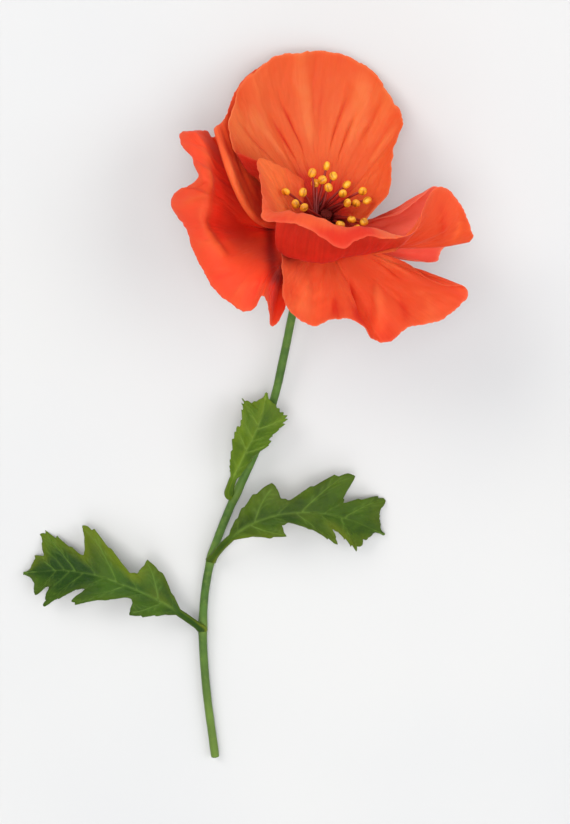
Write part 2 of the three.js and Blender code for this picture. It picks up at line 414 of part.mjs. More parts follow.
// ---------- turned pieces on the axis ----------
function turnedMesh(name, profile, mat) {
  const g = new THREE.LatheGeometry(profile.map(([r, h]) => new THREE.Vector2(r, h)), 16);
  const mesh = new THREE.Mesh(g, mat);
  mesh.name = name;
  mesh.quaternion.setFromUnitVectors(new THREE.Vector3(0, 1, 0), AXIS);
  return mesh;
}

const named = (name, geometry, mat) => {
  const mesh = new THREE.Mesh(geometry, mat);
  mesh.name = name;
  return mesh;
};

// ---------- assembly ----------
const bloom = new THREE.Group();
for (const spec of PETALS) bloom.add(named(spec.name, petalGeometry(spec), PETAL_RED));
STAMENS.forEach(([foot, middle, tip], i) => bloom.add(named('stamen_' + String(i + 1).padStart(2, '0'), stamenGeometry(foot, middle, tip), ANTHER_YELLOW)));
bloom.add(turnedMesh('ovary', OVARY_PROFILE, OVARY_GREEN));
bloom.add(turnedMesh('receptacle', RECEPTACLE_PROFILE, STEM_GREEN));
bloom.add(named('stem', stemGeometry(), STEM_GREEN));
for (const spec of LEAVES) bloom.add(named(spec.name, leafGeometry(spec), LEAF_GREEN));

bloom.rotation.x = -LAY_TILT * DEG;
const poppy = new THREE.Group();
poppy.add(bloom);
poppy.updateMatrixWorld(true);
const box = new THREE.Box3().setFromObject(poppy, true);
bloom.position.set(-(box.min.x + box.max.x) / 2, -(box.min.y + box.max.y) / 2, -box.min.z);
poppy.updateMatrixWorld(true);

export default poppy;
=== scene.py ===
import math, random
import bpy
import numpy as np
from mathutils import Matrix, Vector


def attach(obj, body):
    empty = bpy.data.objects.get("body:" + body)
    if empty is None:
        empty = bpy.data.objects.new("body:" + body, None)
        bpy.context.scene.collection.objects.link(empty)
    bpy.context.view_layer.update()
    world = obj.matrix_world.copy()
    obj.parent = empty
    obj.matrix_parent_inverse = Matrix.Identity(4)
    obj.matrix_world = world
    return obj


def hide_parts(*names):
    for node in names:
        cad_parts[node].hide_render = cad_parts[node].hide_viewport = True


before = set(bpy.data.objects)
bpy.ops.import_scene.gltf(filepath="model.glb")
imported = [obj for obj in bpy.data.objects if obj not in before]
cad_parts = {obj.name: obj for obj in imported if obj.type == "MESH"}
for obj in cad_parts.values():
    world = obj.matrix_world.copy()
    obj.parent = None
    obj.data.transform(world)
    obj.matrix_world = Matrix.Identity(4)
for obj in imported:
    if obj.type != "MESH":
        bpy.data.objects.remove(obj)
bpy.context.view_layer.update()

scene = bpy.context.scene
MM = 0.001
DEG = math.pi / 180

# ------------------------------------------------------------------ the bloom frame
# millimetres, origin at the base of the bloom, x right, y to the top of the bloom, z to the viewer
LAY_TILT = 10.0
PLACE = np.array([32.5180, 79.2722, 24.0514])
VIEW_DISTANCE = 700.0
AXIS = np.array([0.199775, 0.679237, 0.706206]); AXIS = AXIS / np.linalg.norm(AXIS)
SIDE_1 = np.array([1.0, 0, 0]) - AXIS[0] * AXIS; SIDE_1 /= np.linalg.norm(SIDE_1)
SIDE_2 = np.cross(AXIS, SIDE_1)
CT, ST = math.cos(LAY_TILT * DEG), math.sin(LAY_TILT * DEG)


def to_row(p):
    """bloom frame, mm -> row frame, m"""
    p = np.asarray(p, float)
    q = np.stack([p[..., 0], p[..., 1] * CT + p[..., 2] * ST, -p[..., 1] * ST + p[..., 2] * CT], -1)
    return (q + PLACE) * MM


PETALS = {
    "petal_back": {"phi": 89, "arc": 55, "ring": 5, "h": -0.6, "al0": 84, "bulge": 15,
        "rim": [
            [-22.98, 20.33, 12.5], [-27.64, 22.05, 14], [-31.41, 23.19, 15], [-32.07, 28.54, 13.5], [-33.12, 34.6, 10],
            [-31.23, 41.34, 6], [-28.1, 47.83, 2.5], [-24, 52.5, 0], [-18.04, 56.22, -1.5], [-12.06, 58.31, -3.5],
            [-5.44, 59.26, -5.5], [1.82, 58.86, -6.5], [9.1, 56.7, -7.5], [15.16, 53.37, -7.5], [19.98, 48.75, -6.5],
            [24.15, 41.97, -4.5], [26.9, 34.3, -2], [24.39, 27.26, 1], [23, 19.42, 3], [22.03, 11.01, 5.5],
            [18.97, 4.45, 8.5], [14.2, 0.3, 9.5]],
        "belly": [],
        "leave": []},
    "petal_front": {"phi": 264, "arc": 52, "ring": 5, "h": -0.2, "al0": 88, "bulge": 20,
        "rim": [
            [-7.22, 14.13, -1.5], [-12.27, 17.66, 1.5], [-17.81, 19.88, 7.5], [-22.66, 20.73, 15], [-21.84, 15.02, 26],
            [-20.56, 6.53, 37.5], [-20.24, 0.84, 44], [-15.68, -0.28, 46.5], [-10.05, -0.84, 48.5], [-5.02, -2.51, 49.5],
            [-0.56, -5.85, 50.5], [3.34, -8.34, 51], [6.68, -9.29, 51], [10.01, -6.68, 51], [13.91, -5.01, 51],
            [17.81, -5.57, 50.5], [22.3, -6.02, 49.5], [26.85, -5.03, 47.5], [30.6, -1.68, 45], [32.69, 3.1, 42.5],
            [34.48, 7.91, 40.5], [36.85, 11.17, 38.5], [40.98, 10.81, 36], [44.53, 6.85, 34], [47.56, 1.43, 31.5],
            [50.04, -4.89, 29], [49.11, -7.22, 26]],
        "belly": [
            [0, -7.19, 8.09, 0.5], [1, -9.57, 10.76, 2.5], [2, -12.48, 12.78, 6.5], [3, -15.92, 12.68, 12],
            [4, -16.39, 9.07, 17], [5, -14.95, 5.06, 31.79], [6, -7.75, 11.14, 32.34], [7, -3.65, 15.76, 36.99],
            [8, -1.81, 15.7, 39.94], [9, -0.49, 15.69, 41.23], [10, 1.95, 16.04, 40.87], [11, 3.89, 15.68, 41.32],
            [12, 7.14, 14.53, 42.57], [13, 10.4, 10.76, 42.56], [14, 12.57, 8.45, 41.3], [15, 16.65, 6.39, 37.96],
            [16, 20.4, 1.95, 32.53], [17, 23.28, -4.87, 26.2], [18, 23.34, -14.18, 19.03], [19, 26.09, -15.36, 23.67],
            [20, 29.58, -14.21, 23.33], [21, 33.08, -13.06, 23], [22, 35.41, -12.29, 22.67], [23, 37.76, -11.52, 22.33],
            [24, 40.1, -10.75, 22], [25, 39.61, -10.19, 20.5], [26, 39.11, -9.63, 19]],
        "leave": [
            [5, -15.29, -10.07, 5.91], [6, -29.6, -22.15, 21.12], [7, -28.33, -28.86, 20.42], [8, -21.29, -31.6, 18.78],
            [9, -12.29, -34.43, 18.73], [10, -4.8, -35.61, 20.03], [11, 1.82, -34.3, 20.79], [12, 6.09, -32.27, 21],
            [13, 10.34, -28.77, 21.02], [14, 16.09, -26.7, 20.84], [15, 20.31, -24.92, 21.26], [16, 23.31, -22.5, 22.28],
            [17, 24.26, -18.51, 21.82], [18, 23.44, -11.46, 22.16]]},
    "petal_lower": {"phi": 286, "arc": 31, "ring": 6.6, "h": -3, "al0": 96, "bulge": -8,
        "rim": [
            [-15.29, -10.29, 14], [-13.99, -18.07, 20], [-13.6, -24.01, 25], [-12.67, -29.09, 28], [-8.63, -32.5, 29],
            [-4.04, -35.5, 26.5], [-0.58, -34.9, 27], [2.3, -33.07, 29], [7.45, -32.63, 31], [12.05, -34.14, 30.5],
            [14.68, -36.84, 28.5], [15.6, -40.15, 26], [18.58, -41.4, 22.5], [21.99, -40.79, 25], [25.36, -38.04, 27.5],
            [29.38, -35.71, 28], [35.19, -35.19, 27], [40.5, -33.27, 25], [44.07, -29.86, 23.5], [48.56, -25.88, 21.5],
            [47.11, -22.68, 21.5], [41.38, -21.74, 20], [34.2, -19.58, 18], [27.6, -14.09, 15]],
        "belly": [
            [0, -10.89, -9, 7.65], [1, -9.81, -14.27, 11.32], [2, -9.48, -18.3, 14.13], [3, -8.98, -22.03, 13.74],
            [4, -5.97, -24.2, 16.54], [5, -2.78, -26.22, 15.31], [6, -0.39, -25.81, 15.49], [7, 1.58, -24.58, 16.53],
            [8, 5.19, -24.47, 17.24], [9, 8.37, -25.37, 17.05], [10, 10.19, -27.23, 16], [11, 10.93, -29.29, 15.1],
            [12, 12.92, -29.99, 13.51], [13, 15.3, -29.7, 14.72], [14, 17.66, -27.91, 15.61], [15, 20.47, -26.47, 15.78],
            [16, 24.49, -26.05, 15.4], [17, 28.05, -24.63, 14.67], [18, 30.46, -22.22, 13.79], [19, 30.92, -17.6, 14.64],
            [20, 28.51, -16.24, 13.38], [21, 26.36, -15.44, 11.24], [22, 22.64, -12.22, 9.9], [23, 17.92, -10.92, 10.17]],
        "leave": [
            [0, -5.28, -7.72, 1.83], [1, -4.75, -10.03, -0.07], [2, -4.52, -11.87, -1.52], [3, -3.96, -13.18, -1.37],
            [4, -2.76, -14.16, -0.2], [5, -1.3, -15.01, 1.39], [6, -0.19, -14.9, 1.14], [7, 0.81, -14.41, -0.14],
            [8, 2.39, -14.31, -1.13], [9, 3.88, -14.83, -0.84], [10, 4.62, -15.47, 0.49], [11, 4.87, -16.38, 1.81],
            [12, 5.82, -16.55, 3.93], [13, 6.94, -16.5, 2.41], [14, 8.22, -15.69, 1.17], [15, 9.43, -14.93, 0.96],
            [16, 11.11, -14.84, 1.55], [17, 12.85, -14.28, 2.65], [18, 13.9, -13.26, 3.76], [19, 13.38, -10.55, 4.81],
            [20, 12.75, -8.79, 4.66], [21, 9.91, -8.26, 5.59], [22, 8.64, -8.56, 6], [23, 8.04, -6.59, 5.35]]},
    "petal_left": {"phi": 204, "arc": 29, "ring": 6.5, "h": -3, "al0": 97, "bulge": 4,
        "rim": [
            [-29.53, 28.02, -3], [-34.9, 30.39, -2], [-39.06, 29.14, -1], [-40.92, 31.07, 3], [-45.01, 31.09, 9],
            [-49.6, 30, 7], [-48.29, 25.03, 13], [-44.95, 20.43, 19], [-42.36, 15.09, 23], [-45.53, 11.97, 19],
            [-49.98, 10.88, 14], [-53.52, 6.8, 10], [-51.23, 1.18, 13], [-47.35, -3.8, 18], [-44.81, -10.18, 21],
            [-41.14, -17.67, 24], [-36.34, -24.23, 27], [-32.26, -27.07, 28], [-27.61, -30.19, 29], [-23.53, -29.27, 30.5],
            [-20.87, -25.44, 33], [-19.27, -27.32, 29], [-19.38, -31.53, 25], [-18.62, -36.08, 21], [-15.76, -34.44, 19],
            [-13.45, -30.11, 18]],
        "belly": [
            [0, -21.27, 15.5, -9], [1, -27.23, 15.43, -6], [2, -33.05, 15.32, -1], [3, -34.59, 19.7, 0.65],
            [4, -44.18, 33.02, 25.51], [5, -35.02, 24.39, 34.51], [6, -32.77, 21.44, 33.95], [7, -35.04, 17.86, 36.28],
            [8, -36.48, 15.29, 35.65], [9, -32.89, 12.24, 36.8], [10, -27.37, 7.31, 41.57], [11, -24.4, 3.32, 46.38],
            [12, -29.8, 0.35, 44.46], [13, -30.83, -4.35, 38.96], [14, -27.71, -6.27, 37.91], [15, -24.3, -7.56, 36.49],
            [16, -21.86, -6.05, 33.42], [17, -19.24, -6.2, 33.94], [18, -17.12, -5.19, 33.99], [19, -17.45, -8.11, 32.35],
            [20, -17.28, -12.71, 25.36], [21, -17.05, -13.4, 20.24], [22, -15.44, -13.71, 16.37], [23, -15.21, -16.44, 12.11],
            [24, -13.31, -13.36, 12.92], [25, -10.51, -11.72, 11.65]],
        "leave": [
            [3, -17.28, -4.12, -8.09], [4, -15.72, -9.11, -24.95], [5, -23.57, -3.24, -29.48], [6, -28.56, -2.58, -28.01],
            [7, -28.79, -4.42, -27.67], [8, -29.57, -5.44, -25.68], [9, -33.96, -6.57, -24.56], [10, -38.98, -5.12, -27.43],
            [11, -41.39, -3.79, -30.53], [12, -37.48, -4.4, -28.48], [13, -35.26, -4.44, -22.72], [14, -33.19, -7.87, -18.94],
            [15, -29.42, -10.8, -13.62], [16, -25.17, -14.74, -6.96], [17, -20.94, -16.76, -3.97], [18, -18, -18.99, -4.28],
            [19, -14.41, -18.25, -5.76], [20, -11.71, -14.68, -6.75], [21, -10.23, -15.19, -6.6], [22, -10.93, -16.93, -6.25],
            [23, -10.67, -16.59, -4.36], [24, -9.23, -16.47, -2.15], [25, -8.48, -15.84, -2.14]]},
    "petal_back_left": {"phi": 144, "arc": 18, "ring": 6.4, "h": -1.6, "al0": 90, "bulge": 11,
        "rim": [
            [-37.85, 30.46, 10], [-37.56, 31.94, 10], [-35.69, 34.2, 6], [-33.6, 39.3, 0], [-31.33, 45.49, -3],
            [-25.38, 52.27, -5], [-15.82, 56.89, -9.8], [-5.5, 57.18, -13.5], [4.29, 53.58, -14.4]],
        "belly": [
            [0, -29.29, 3.68, 30.58], [1, -27.51, 4.2, 31.44], [2, -28.18, 10.16, 14.63], [3, -25.15, 16.32, 1.79],
            [4, -20.05, 25.22, -9]],
        "leave": [
            [0, -25, -9.57, 1.57], [1, -24.28, -7.46, 3.34], [2, -20.33, -4.16, 3.38], [3, -19.49, 2.9, -1.77]]},
    "petal_right": {"phi": 356, "arc": 37, "ring": 6.4, "h": -2.2, "al0": 92, "bulge": 8,
        "rim": [
            [16.11, -0.3, 4], [22.04, 1.01, 5], [26.77, 2.38, 6], [30.91, 5.65, 6.5], [34.48, 9.21, 6.5],
            [38.07, 12.02, 6], [43.42, 8.03, 6], [46.27, 0.89, 8], [44.45, -6.22, 8.5], [40.57, -10.96, 9],
            [37.91, -14.51, 9], [27.88, -12.75, 8]],
        "belly": [],
        "leave": []}}
LEAVES = {
    "leaf_upper": {"W": 11, "wp": 0.9, "beta": 34, "pet": 0.14, "roll": 6, "cup": -0.2,
        "spine": [[-35.49, -101.36, -36.76], [-33.28, -94.49, -32.5], [-29.98, -87.12, -28.56], [-26.12, -79.29, -25.56], [-22.97, -71.72, -24.42], [-21.15, -63.14, -25.76]],
        "left": [
            [0, 0], [0.3, 0.62], [0.44, 0.7], [0.52, 0.6], [0.62, 0.86], [0.72, 0.92], [0.8, 0.66], [0.88, 0.62],
            [0.94, 0.36], [1, 0]],
        "right": [
            [0, 0], [0.22, 0.46], [0.4, 0.78], [0.48, 0.66], [0.58, 0.94], [0.68, 0.98], [0.76, 0.7], [0.86, 0.66],
            [0.93, 0.36], [1, 0]]},
    "leaf_right": {"W": 21, "wp": 0.9, "beta": 44, "pet": 0.16, "roll": -8, "cup": -0.16,
        "spine": [[-42.21, -127.44, -41.56], [-37.23, -120.83, -36.13], [-28.18, -113.02, -30.49], [-15.59, -108.21, -27.61], [-1.87, -107.81, -29.16], [11.35, -111.94, -35.78], [22.95, -118.23, -43.59]],
        "left": [
            [0, 0], [0.1, 0.22], [0.2, 0.62], [0.24, 0.66], [0.29, 0.34], [0.34, 0.28], [0.44, 0.74], [0.5, 0.98],
            [0.545, 0.86], [0.58, 0.42], [0.62, 0.34], [0.7, 0.66], [0.75, 0.78], [0.79, 0.62], [0.83, 0.34], [0.92, 0.24],
            [1, 0]],
        "right": [
            [0, 0], [0.08, 0.18], [0.16, 0.5], [0.21, 0.56], [0.26, 0.28], [0.32, 0.26], [0.42, 0.66], [0.47, 0.84],
            [0.51, 0.74], [0.55, 0.36], [0.6, 0.34], [0.68, 0.62], [0.73, 0.74], [0.77, 0.56], [0.81, 0.32], [0.91, 0.22],
            [1, 0]]},
    "leaf_left": {"W": 23, "wp": 0.9, "beta": 42, "pet": 0.15, "roll": 8, "cup": -0.14,
        "spine": [[-46.98, -155.2, -46.66], [-52.76, -149.7, -41.63], [-61.26, -143.04, -36.8], [-72.97, -136.81, -33.87], [-85.72, -132.68, -35.38], [-99.56, -131.59, -39.86], [-114.4, -133.9, -45.64]],
        "left": [
            [0, 0], [0.07, 0.16], [0.14, 0.44], [0.18, 0.5], [0.22, 0.26], [0.27, 0.24], [0.36, 0.66], [0.41, 0.86],
            [0.45, 0.76], [0.49, 0.38], [0.53, 0.34], [0.61, 0.7], [0.66, 0.88], [0.7, 0.72], [0.74, 0.38], [0.78, 0.32],
            [0.83, 0.5], [0.86, 0.46], [0.89, 0.26], [0.94, 0.18], [1, 0]],
        "right": [
            [0, 0], [0.09, 0.2], [0.17, 0.54], [0.21, 0.58], [0.26, 0.3], [0.31, 0.28], [0.41, 0.74], [0.46, 0.96],
            [0.5, 0.84], [0.54, 0.4], [0.58, 0.36], [0.66, 0.68], [0.71, 0.82], [0.75, 0.64], [0.79, 0.34], [0.84, 0.34],
            [0.88, 0.28], [0.94, 0.18], [1, 0]]}}
STEM_PATH = [
    [-1.59, -5.4, -5.61], [-2.7, -9.17, -9.53], [-7.65, -17.44, -14.04], [-11.25, -32.46, -21.36],
    [-14.65, -48.94, -27.31], [-18.83, -66.84, -32.2], [-26.21, -87.46, -36.75], [-35.56, -108.27, -40.82],
    [-43.08, -129.24, -44.62], [-46.21, -151.77, -48.69], [-45.55, -178.01, -53.83], [-42.32, -208.69, -59.64]]
STAMENS = [
    [[-1.19, -1.9, 3.51], [-4.11, 4.74, 8.11], [-7.39, 9.73, 10.99]],
    [[-0.98, -1.17, 2.75], [-6.54, 5.75, 7.46], [-13.27, 9.93, 11.77]],
    [[0.33, -2.29, 3.46], [-4.44, 2.83, 9.38], [-9.88, 5.7, 13.47]],
    [[1.14, -1.72, 2.68], [-2.66, 2.72, 9.43], [-6.92, 4.53, 15.03]],
    [[2.1, -2.18, 2.85], [-1.37, -0.03, 10.65], [-4.98, -0.29, 17.26]],
    [[2.86, -1.27, 1.76], [0.84, -1.11, 12.38], [-1.16, -3.77, 21.25]],
    [[3.81, -1.07, 1.3], [3.3, -2.19, 11.52], [3.2, -5.24, 20.28]],
    [[3.23, -0.34, 0.75], [4.13, 0.34, 10.06], [5.5, -1.23, 17.47]],
    [[4.16, 0.05, 0.12], [5.63, -1.54, 10.93], [7.35, -4.95, 20.1]],
    [[3.13, 0.61, -0.13], [5.99, 1.41, 8.53], [9.39, 0.41, 15.08]],
    [[3.83, 1.28, -0.97], [7.54, -0.14, 7.94], [11.16, -2.65, 15.38]],
    [[2.71, 1.64, -1], [7.88, 1.89, 7.42], [13.65, -0.38, 13.54]],
    [[2.46, 2.49, -1.75], [5.49, 4.17, 5.54], [7.96, 6.12, 9.67]],
    [[1.06, 2.76, -1.61], [6.03, 6.03, 4.2], [11.02, 6, 7.63]],
    [[0.36, 3.54, -2.16], [7.91, 6.06, 2.27], [14.9, 6.98, 4.93]],
    [[-0.38, 3.03, -1.47], [6.57, 7.36, 2.75], [13.29, 10.21, 4.28]],
    [[-1.47, 3.53, -1.64], [3.35, 6.75, 2.47], [6.39, 9.42, 4.66]],
    [[-2.45, 2.94, -0.78], [3.02, 8.79, 3.14], [7.76, 12.53, 3.66]],
    [[-3.38, 2.42, -0.03], [0.56, 9.81, 1.63], [3.12, 15.51, 1.16]],
    [[-2.64, 1.76, 0.4], [0.18, 7.35, 2.63], [1.42, 11.48, 3.3]],
    [[-3.78, 1.28, 1.18], [-0.88, 11.19, 1.61], [0.77, 19.03, -0.25]],
    [[-2.98, 0.66, 1.55], [-1.04, 8.11, 2.79], [-0.69, 14.18, 3.48]],
    [[-3.44, -0.03, 2.34], [-3.51, 9.35, 4.32], [-4.26, 16.52, 3.94]],
    [[-2.44, -0.64, 2.65], [-2.28, 7.4, 3.97], [-3.21, 13.03, 2.03]]]
RECEPTACLE_PROFILE = [[0, -7.6], [1.75, -7.6], [2.2, -6.7], [3.8, -5.8], [5.8, -5.05], [6.5, -4.85], [6.5, -4.6], [5.85, -4.3], [5.8, -2], [5.3, -1.5], [4.5, -1.2], [4.45, 0.1], [4.2, 0.4], [0, 0.4]]
OVARY_PROFILE = [[0, 0.7], [1.4, 0.7], [1.75, 1.1], [1.95, 1.8], [1.95, 2.4], [1.65, 3], [1.45, 3.2], [1.85, 3.35], [2.05, 3.6], [1.95, 3.85], [1, 4.1], [0, 4.15]]


# ------------------------------------------------------------------ helpers
def noise2(x, y, seed=0):
    """smooth lattice noise in -1..1"""
    x = np.asarray(x, float); y = np.asarray(y, float)
    xi, yi = np.floor(x).astype(np.int64), np.floor(y).astype(np.int64)
    fx, fy = x - xi, y - yi
    fx, fy = fx * fx * fx * (fx * (fx * 6 - 15) + 10), fy * fy * fy * (fy * (fy * 6 - 15) + 10)

    def h(a, b):
        n = (a * 374761393 + b * 668265263 + seed * 2147483647 + 1013904223) & 0xFFFFFFFF
        n = ((n ^ (n >> 13)) * 1274126177) & 0xFFFFFFFF
        n = n ^ (n >> 16)
        return (n & 0xFFFF) / 32767.5 - 1.0
    a, b, c, d = h(xi, yi), h(xi + 1, yi), h(xi, yi + 1), h(xi + 1, yi + 1)
    return (a * (1 - fx) + b * fx) * (1 - fy) + (c * (1 - fx) + d * fx) * fy


def fbm(x, y, seed=0, octaves=3):
    s, a = 0, 1.0
    for k in range(octaves):
        s = s + a * noise2(x * 2 ** k, y * 2 ** k, seed + 17 * k); a *= 0.5
    return s / 1.75


def smooth(a, b, x):
    t = np.clip((x - a) / (b - a), 0, 1)
    return t * t * (3 - 2 * t)


def crom(pts, u):
    pts = np.asarray(pts, float); n = len(pts)
    i = np.clip(np.floor(u).astype(int), 0, n - 2); t = (u - i).reshape((-1,) + (1,) * (pts.ndim - 1))
    ext = np.concatenate([[2 * pts[0] - pts[1]], pts, [2 * pts[-1] - pts[-2]]])
    p0, p1, p2, p3 = ext[i], ext[i + 1], ext[i + 2], ext[i + 3]
    return 0.5 * ((2 * p1) + (-p0 + p2) * t + (2 * p0 - 5 * p1 + 4 * p2 - p3) * t * t + (-p0 + 3 * p1 - 3 * p2 + p3) * t ** 3)


def shares(pts):
    c = np.concatenate([[0], np.cumsum(np.linalg.norm(np.diff(np.asarray(pts, float), axis=0), axis=1))])
    return c / c[-1], c[-1]


def heading(opening, azimuth):
    o, a = opening * DEG, azimuth * DEG
    return math.cos(o) * AXIS + math.sin(o) * (math.cos(a) * SIDE_1 + math.sin(a) * SIDE_2)


def grid_normals(V):
    du = np.gradient(V, axis=0); dv = np.gradient(V, axis=1)
    N = np.cross(du, dv); l = np.linalg.norm(N, axis=2, keepdims=True); l[l < 1e-9] = 1
    return N / l


def new_object(name, verts, faces, mats, face_mat=None, uvs=None, floats=None):
    me = bpy.data.meshes.new(name)
    me.from_pydata(np.asarray(verts).tolist(), [], [list(map(int, f)) for f in faces])
    me.update()
    for m in mats:
        me.materials.append(m)
    me.polygons.foreach_set("use_smooth", [True] * len(me.polygons))
    if face_mat is not None:
        me.polygons.foreach_set("material_index", [int(v) for v in face_mat])
    if uvs is not None:
        layer = me.uv_layers.new(name="Grain")
        li = np.empty(len(me.loops), np.int32); me.loops.foreach_get("vertex_index", li)
        layer.data.foreach_set("uv", np.asarray(uvs, np.float32)[li].ravel())
    for key, vals in (floats or {}).items():
        a = me.attributes.new(key, "FLOAT", "POINT")
        a.data.foreach_set("value", np.asarray(vals, np.float32))
    me.update()
    o = bpy.data.objects.new(name, me)
    scene.collection.objects.link(o)
    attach(o, "root")
    return o


def shell_mesh(V, thick, N=None):
    """closed shell about a grid, with a rounded edge: an extra row at mid thickness all round"""
    nu, nv = V.shape[:2]
    N = grid_normals(V) if N is None else N
    A = V + N * thick[..., None] / 2; B = V - N * thick[..., None] / 2
    o = nu * nv
    ii, jj = np.meshgrid(np.arange(nu - 1), np.arange(nv - 1), indexing="ij")
    a = (ii * nv + jj).ravel(); b = ((ii + 1) * nv + jj).ravel(); c = ((ii + 1) * nv + jj + 1).ravel(); d = (ii * nv + jj + 1).ravel()
    F = np.concatenate([np.stack([a, b, c, d], 1), np.stack([a, d, c, b], 1) + o])
    ring = [i * nv for i in range(nu)] + [(nu - 1) * nv + j for j in range(1, nv)] + [i * nv + nv - 1 for i in range(nu - 2, -1, -1)] + [j for j in range(nv - 2, 0, -1)]
    ring = np.array(ring)
    # outward direction in the sheet at the edge
    out = np.zeros((nu, nv, 3))
    du = np.gradient(V, axis=0); dv = np.gradient(V, axis=1)
    out[0] -= du[0]; out[-1] += du[-1]; out[:, 0] -= dv[:, 0]; out[:, -1] += dv[:, -1]
    l = np.linalg.norm(out, axis=2, keepdims=True); l[l < 1e-9] = 1; out /= l
    mid = (V + out * thick[..., None] * 0.45).reshape(-1, 3)[ring]
    verts = np.concatenate([A.reshape(-1, 3), B.reshape(-1, 3), mid])
    k = len(ring); r0 = ring; r1 = np.roll(ring, -1); m0 = 2 * o + np.arange(k); m1 = np.roll(m0, -1)
    E = np.concatenate([np.stack([r0, m0, m1, r1], 1), np.stack([m0, r0 + o, r1 + o, m1], 1)])
    # faces wind outwards: check by volume
    F = np.concatenate([F, E])
    src = np.concatenate([np.arange(o), np.arange(o), ring])
    return verts, F, src


def outward(verts, faces):
    f = np.asarray(faces)
    v = np.asarray(verts)
    vol = 0.0
    for k in range(1, f.shape[1] - 1):
        vol += np.einsum('ij,ij->i', v[f[:, 0]], np.cross(v[f[:, k]], v[f[:, k + 1]])).sum()
    return f if vol > 0 else f[:, ::-1]


# ------------------------------------------------------------------ materials
def material(name):
    m = bpy.data.materials.new(name); m.use_nodes = True
    nt = m.node_tree
    b = nt.nodes["Principled BSDF"]
    return m, nt, b


class Net:
    """a little shorthand for building node trees"""
    def __init__(self, nt): self.nt = nt
    def n(self, kind, **props):
        x = self.nt.nodes.new(kind)
        for k, v in props.items(): setattr(x, k, v)
        return x
    def link(self, a, b): self.nt.links.new(a, b)
    def math(self, op, a, b=None, c=None, clamp=False):
        x = self.n("ShaderNodeMath", operation=op, use_clamp=clamp)
        for i, v in enumerate((a, b, c)):
            if v is None: continue
            if isinstance(v, (int, float)): x.inputs[i].default_value = v
            else: self.link(v, x.inputs[i])
        return x.outputs[0]
    def mapr(self, v, a, b, c=0.0, d=1.0, kind="SMOOTHSTEP"):
        x = self.n("ShaderNodeMapRange", interpolation_type=kind)
        self.link(v, x.inputs["Value"])
        for k, w in (("From Min", a), ("From Max", b), ("To Min", c), ("To Max", d)): x.inputs[k].default_value = w
        return x.outputs["Result"]
    def mix(self, f, a, b, mode="MIX"):
        x = self.n("ShaderNodeMix", data_type="RGBA", blend_type=mode)
        if isinstance(f, (int, float)): x.inputs[0].default_value = f
        else: self.link(f, x.inputs[0])
        for i, v in ((6, a), (7, b)):
            if isinstance(v, tuple): x.inputs[i].default_value = (*v, 1)
            else: self.link(v, x.inputs[i])
        return x.outputs[2]
    def attr(self, name):
        x = self.n("ShaderNodeAttribute", attribute_type="GEOMETRY", attribute_name=name); return x.outputs["Fac"]
    def uv(self, sx=1.0, sy=1.0):
        x = self.n("ShaderNodeUVMap", uv_map="Grain")
        m = self.n("ShaderNodeMapping"); m.inputs["Scale"].default_value = (sx, sy, 1); self.link(x.outputs[0], m.inputs[0])
        return m.outputs[0]
    def obj(self, s=1.0):
        x = self.n("ShaderNodeTexCoord")
        m = self.n("ShaderNodeMapping"); m.inputs["Scale"].default_value = (s, s, s); self.link(x.outputs["Object"], m.inputs[0])
        return m.outputs[0]
    def noise(self, vec, scale, detail=3, rough=0.5, dist=0.0):
        x = self.n("ShaderNodeTexNoise"); self.link(vec, x.inputs["Vector"])
        x.inputs["Scale"].default_value = scale; x.inputs["Detail"].default_value = detail
        x.inputs["Roughness"].default_value = rough; x.inputs["Distortion"].default_value = dist
        return x.outputs["Fac"]
    def bump(self, h, dist, strength=1.0, normal=None):
        x = self.n("ShaderNodeBump"); x.inputs["Strength"].default_value = strength; x.inputs["Distance"].default_value = dist
        self.link(h, x.inputs["Height"])
        if normal is not None: self.link(normal, x.inputs["Normal"])
        return x.outputs[0]


def srgb(r, g, b):
    f = lambda c: (c / 255 / 12.92) if c / 255 <= 0.04045 else ((c / 255 + 0.055) / 1.055) ** 2.4
    return (f(r), f(g), f(b))


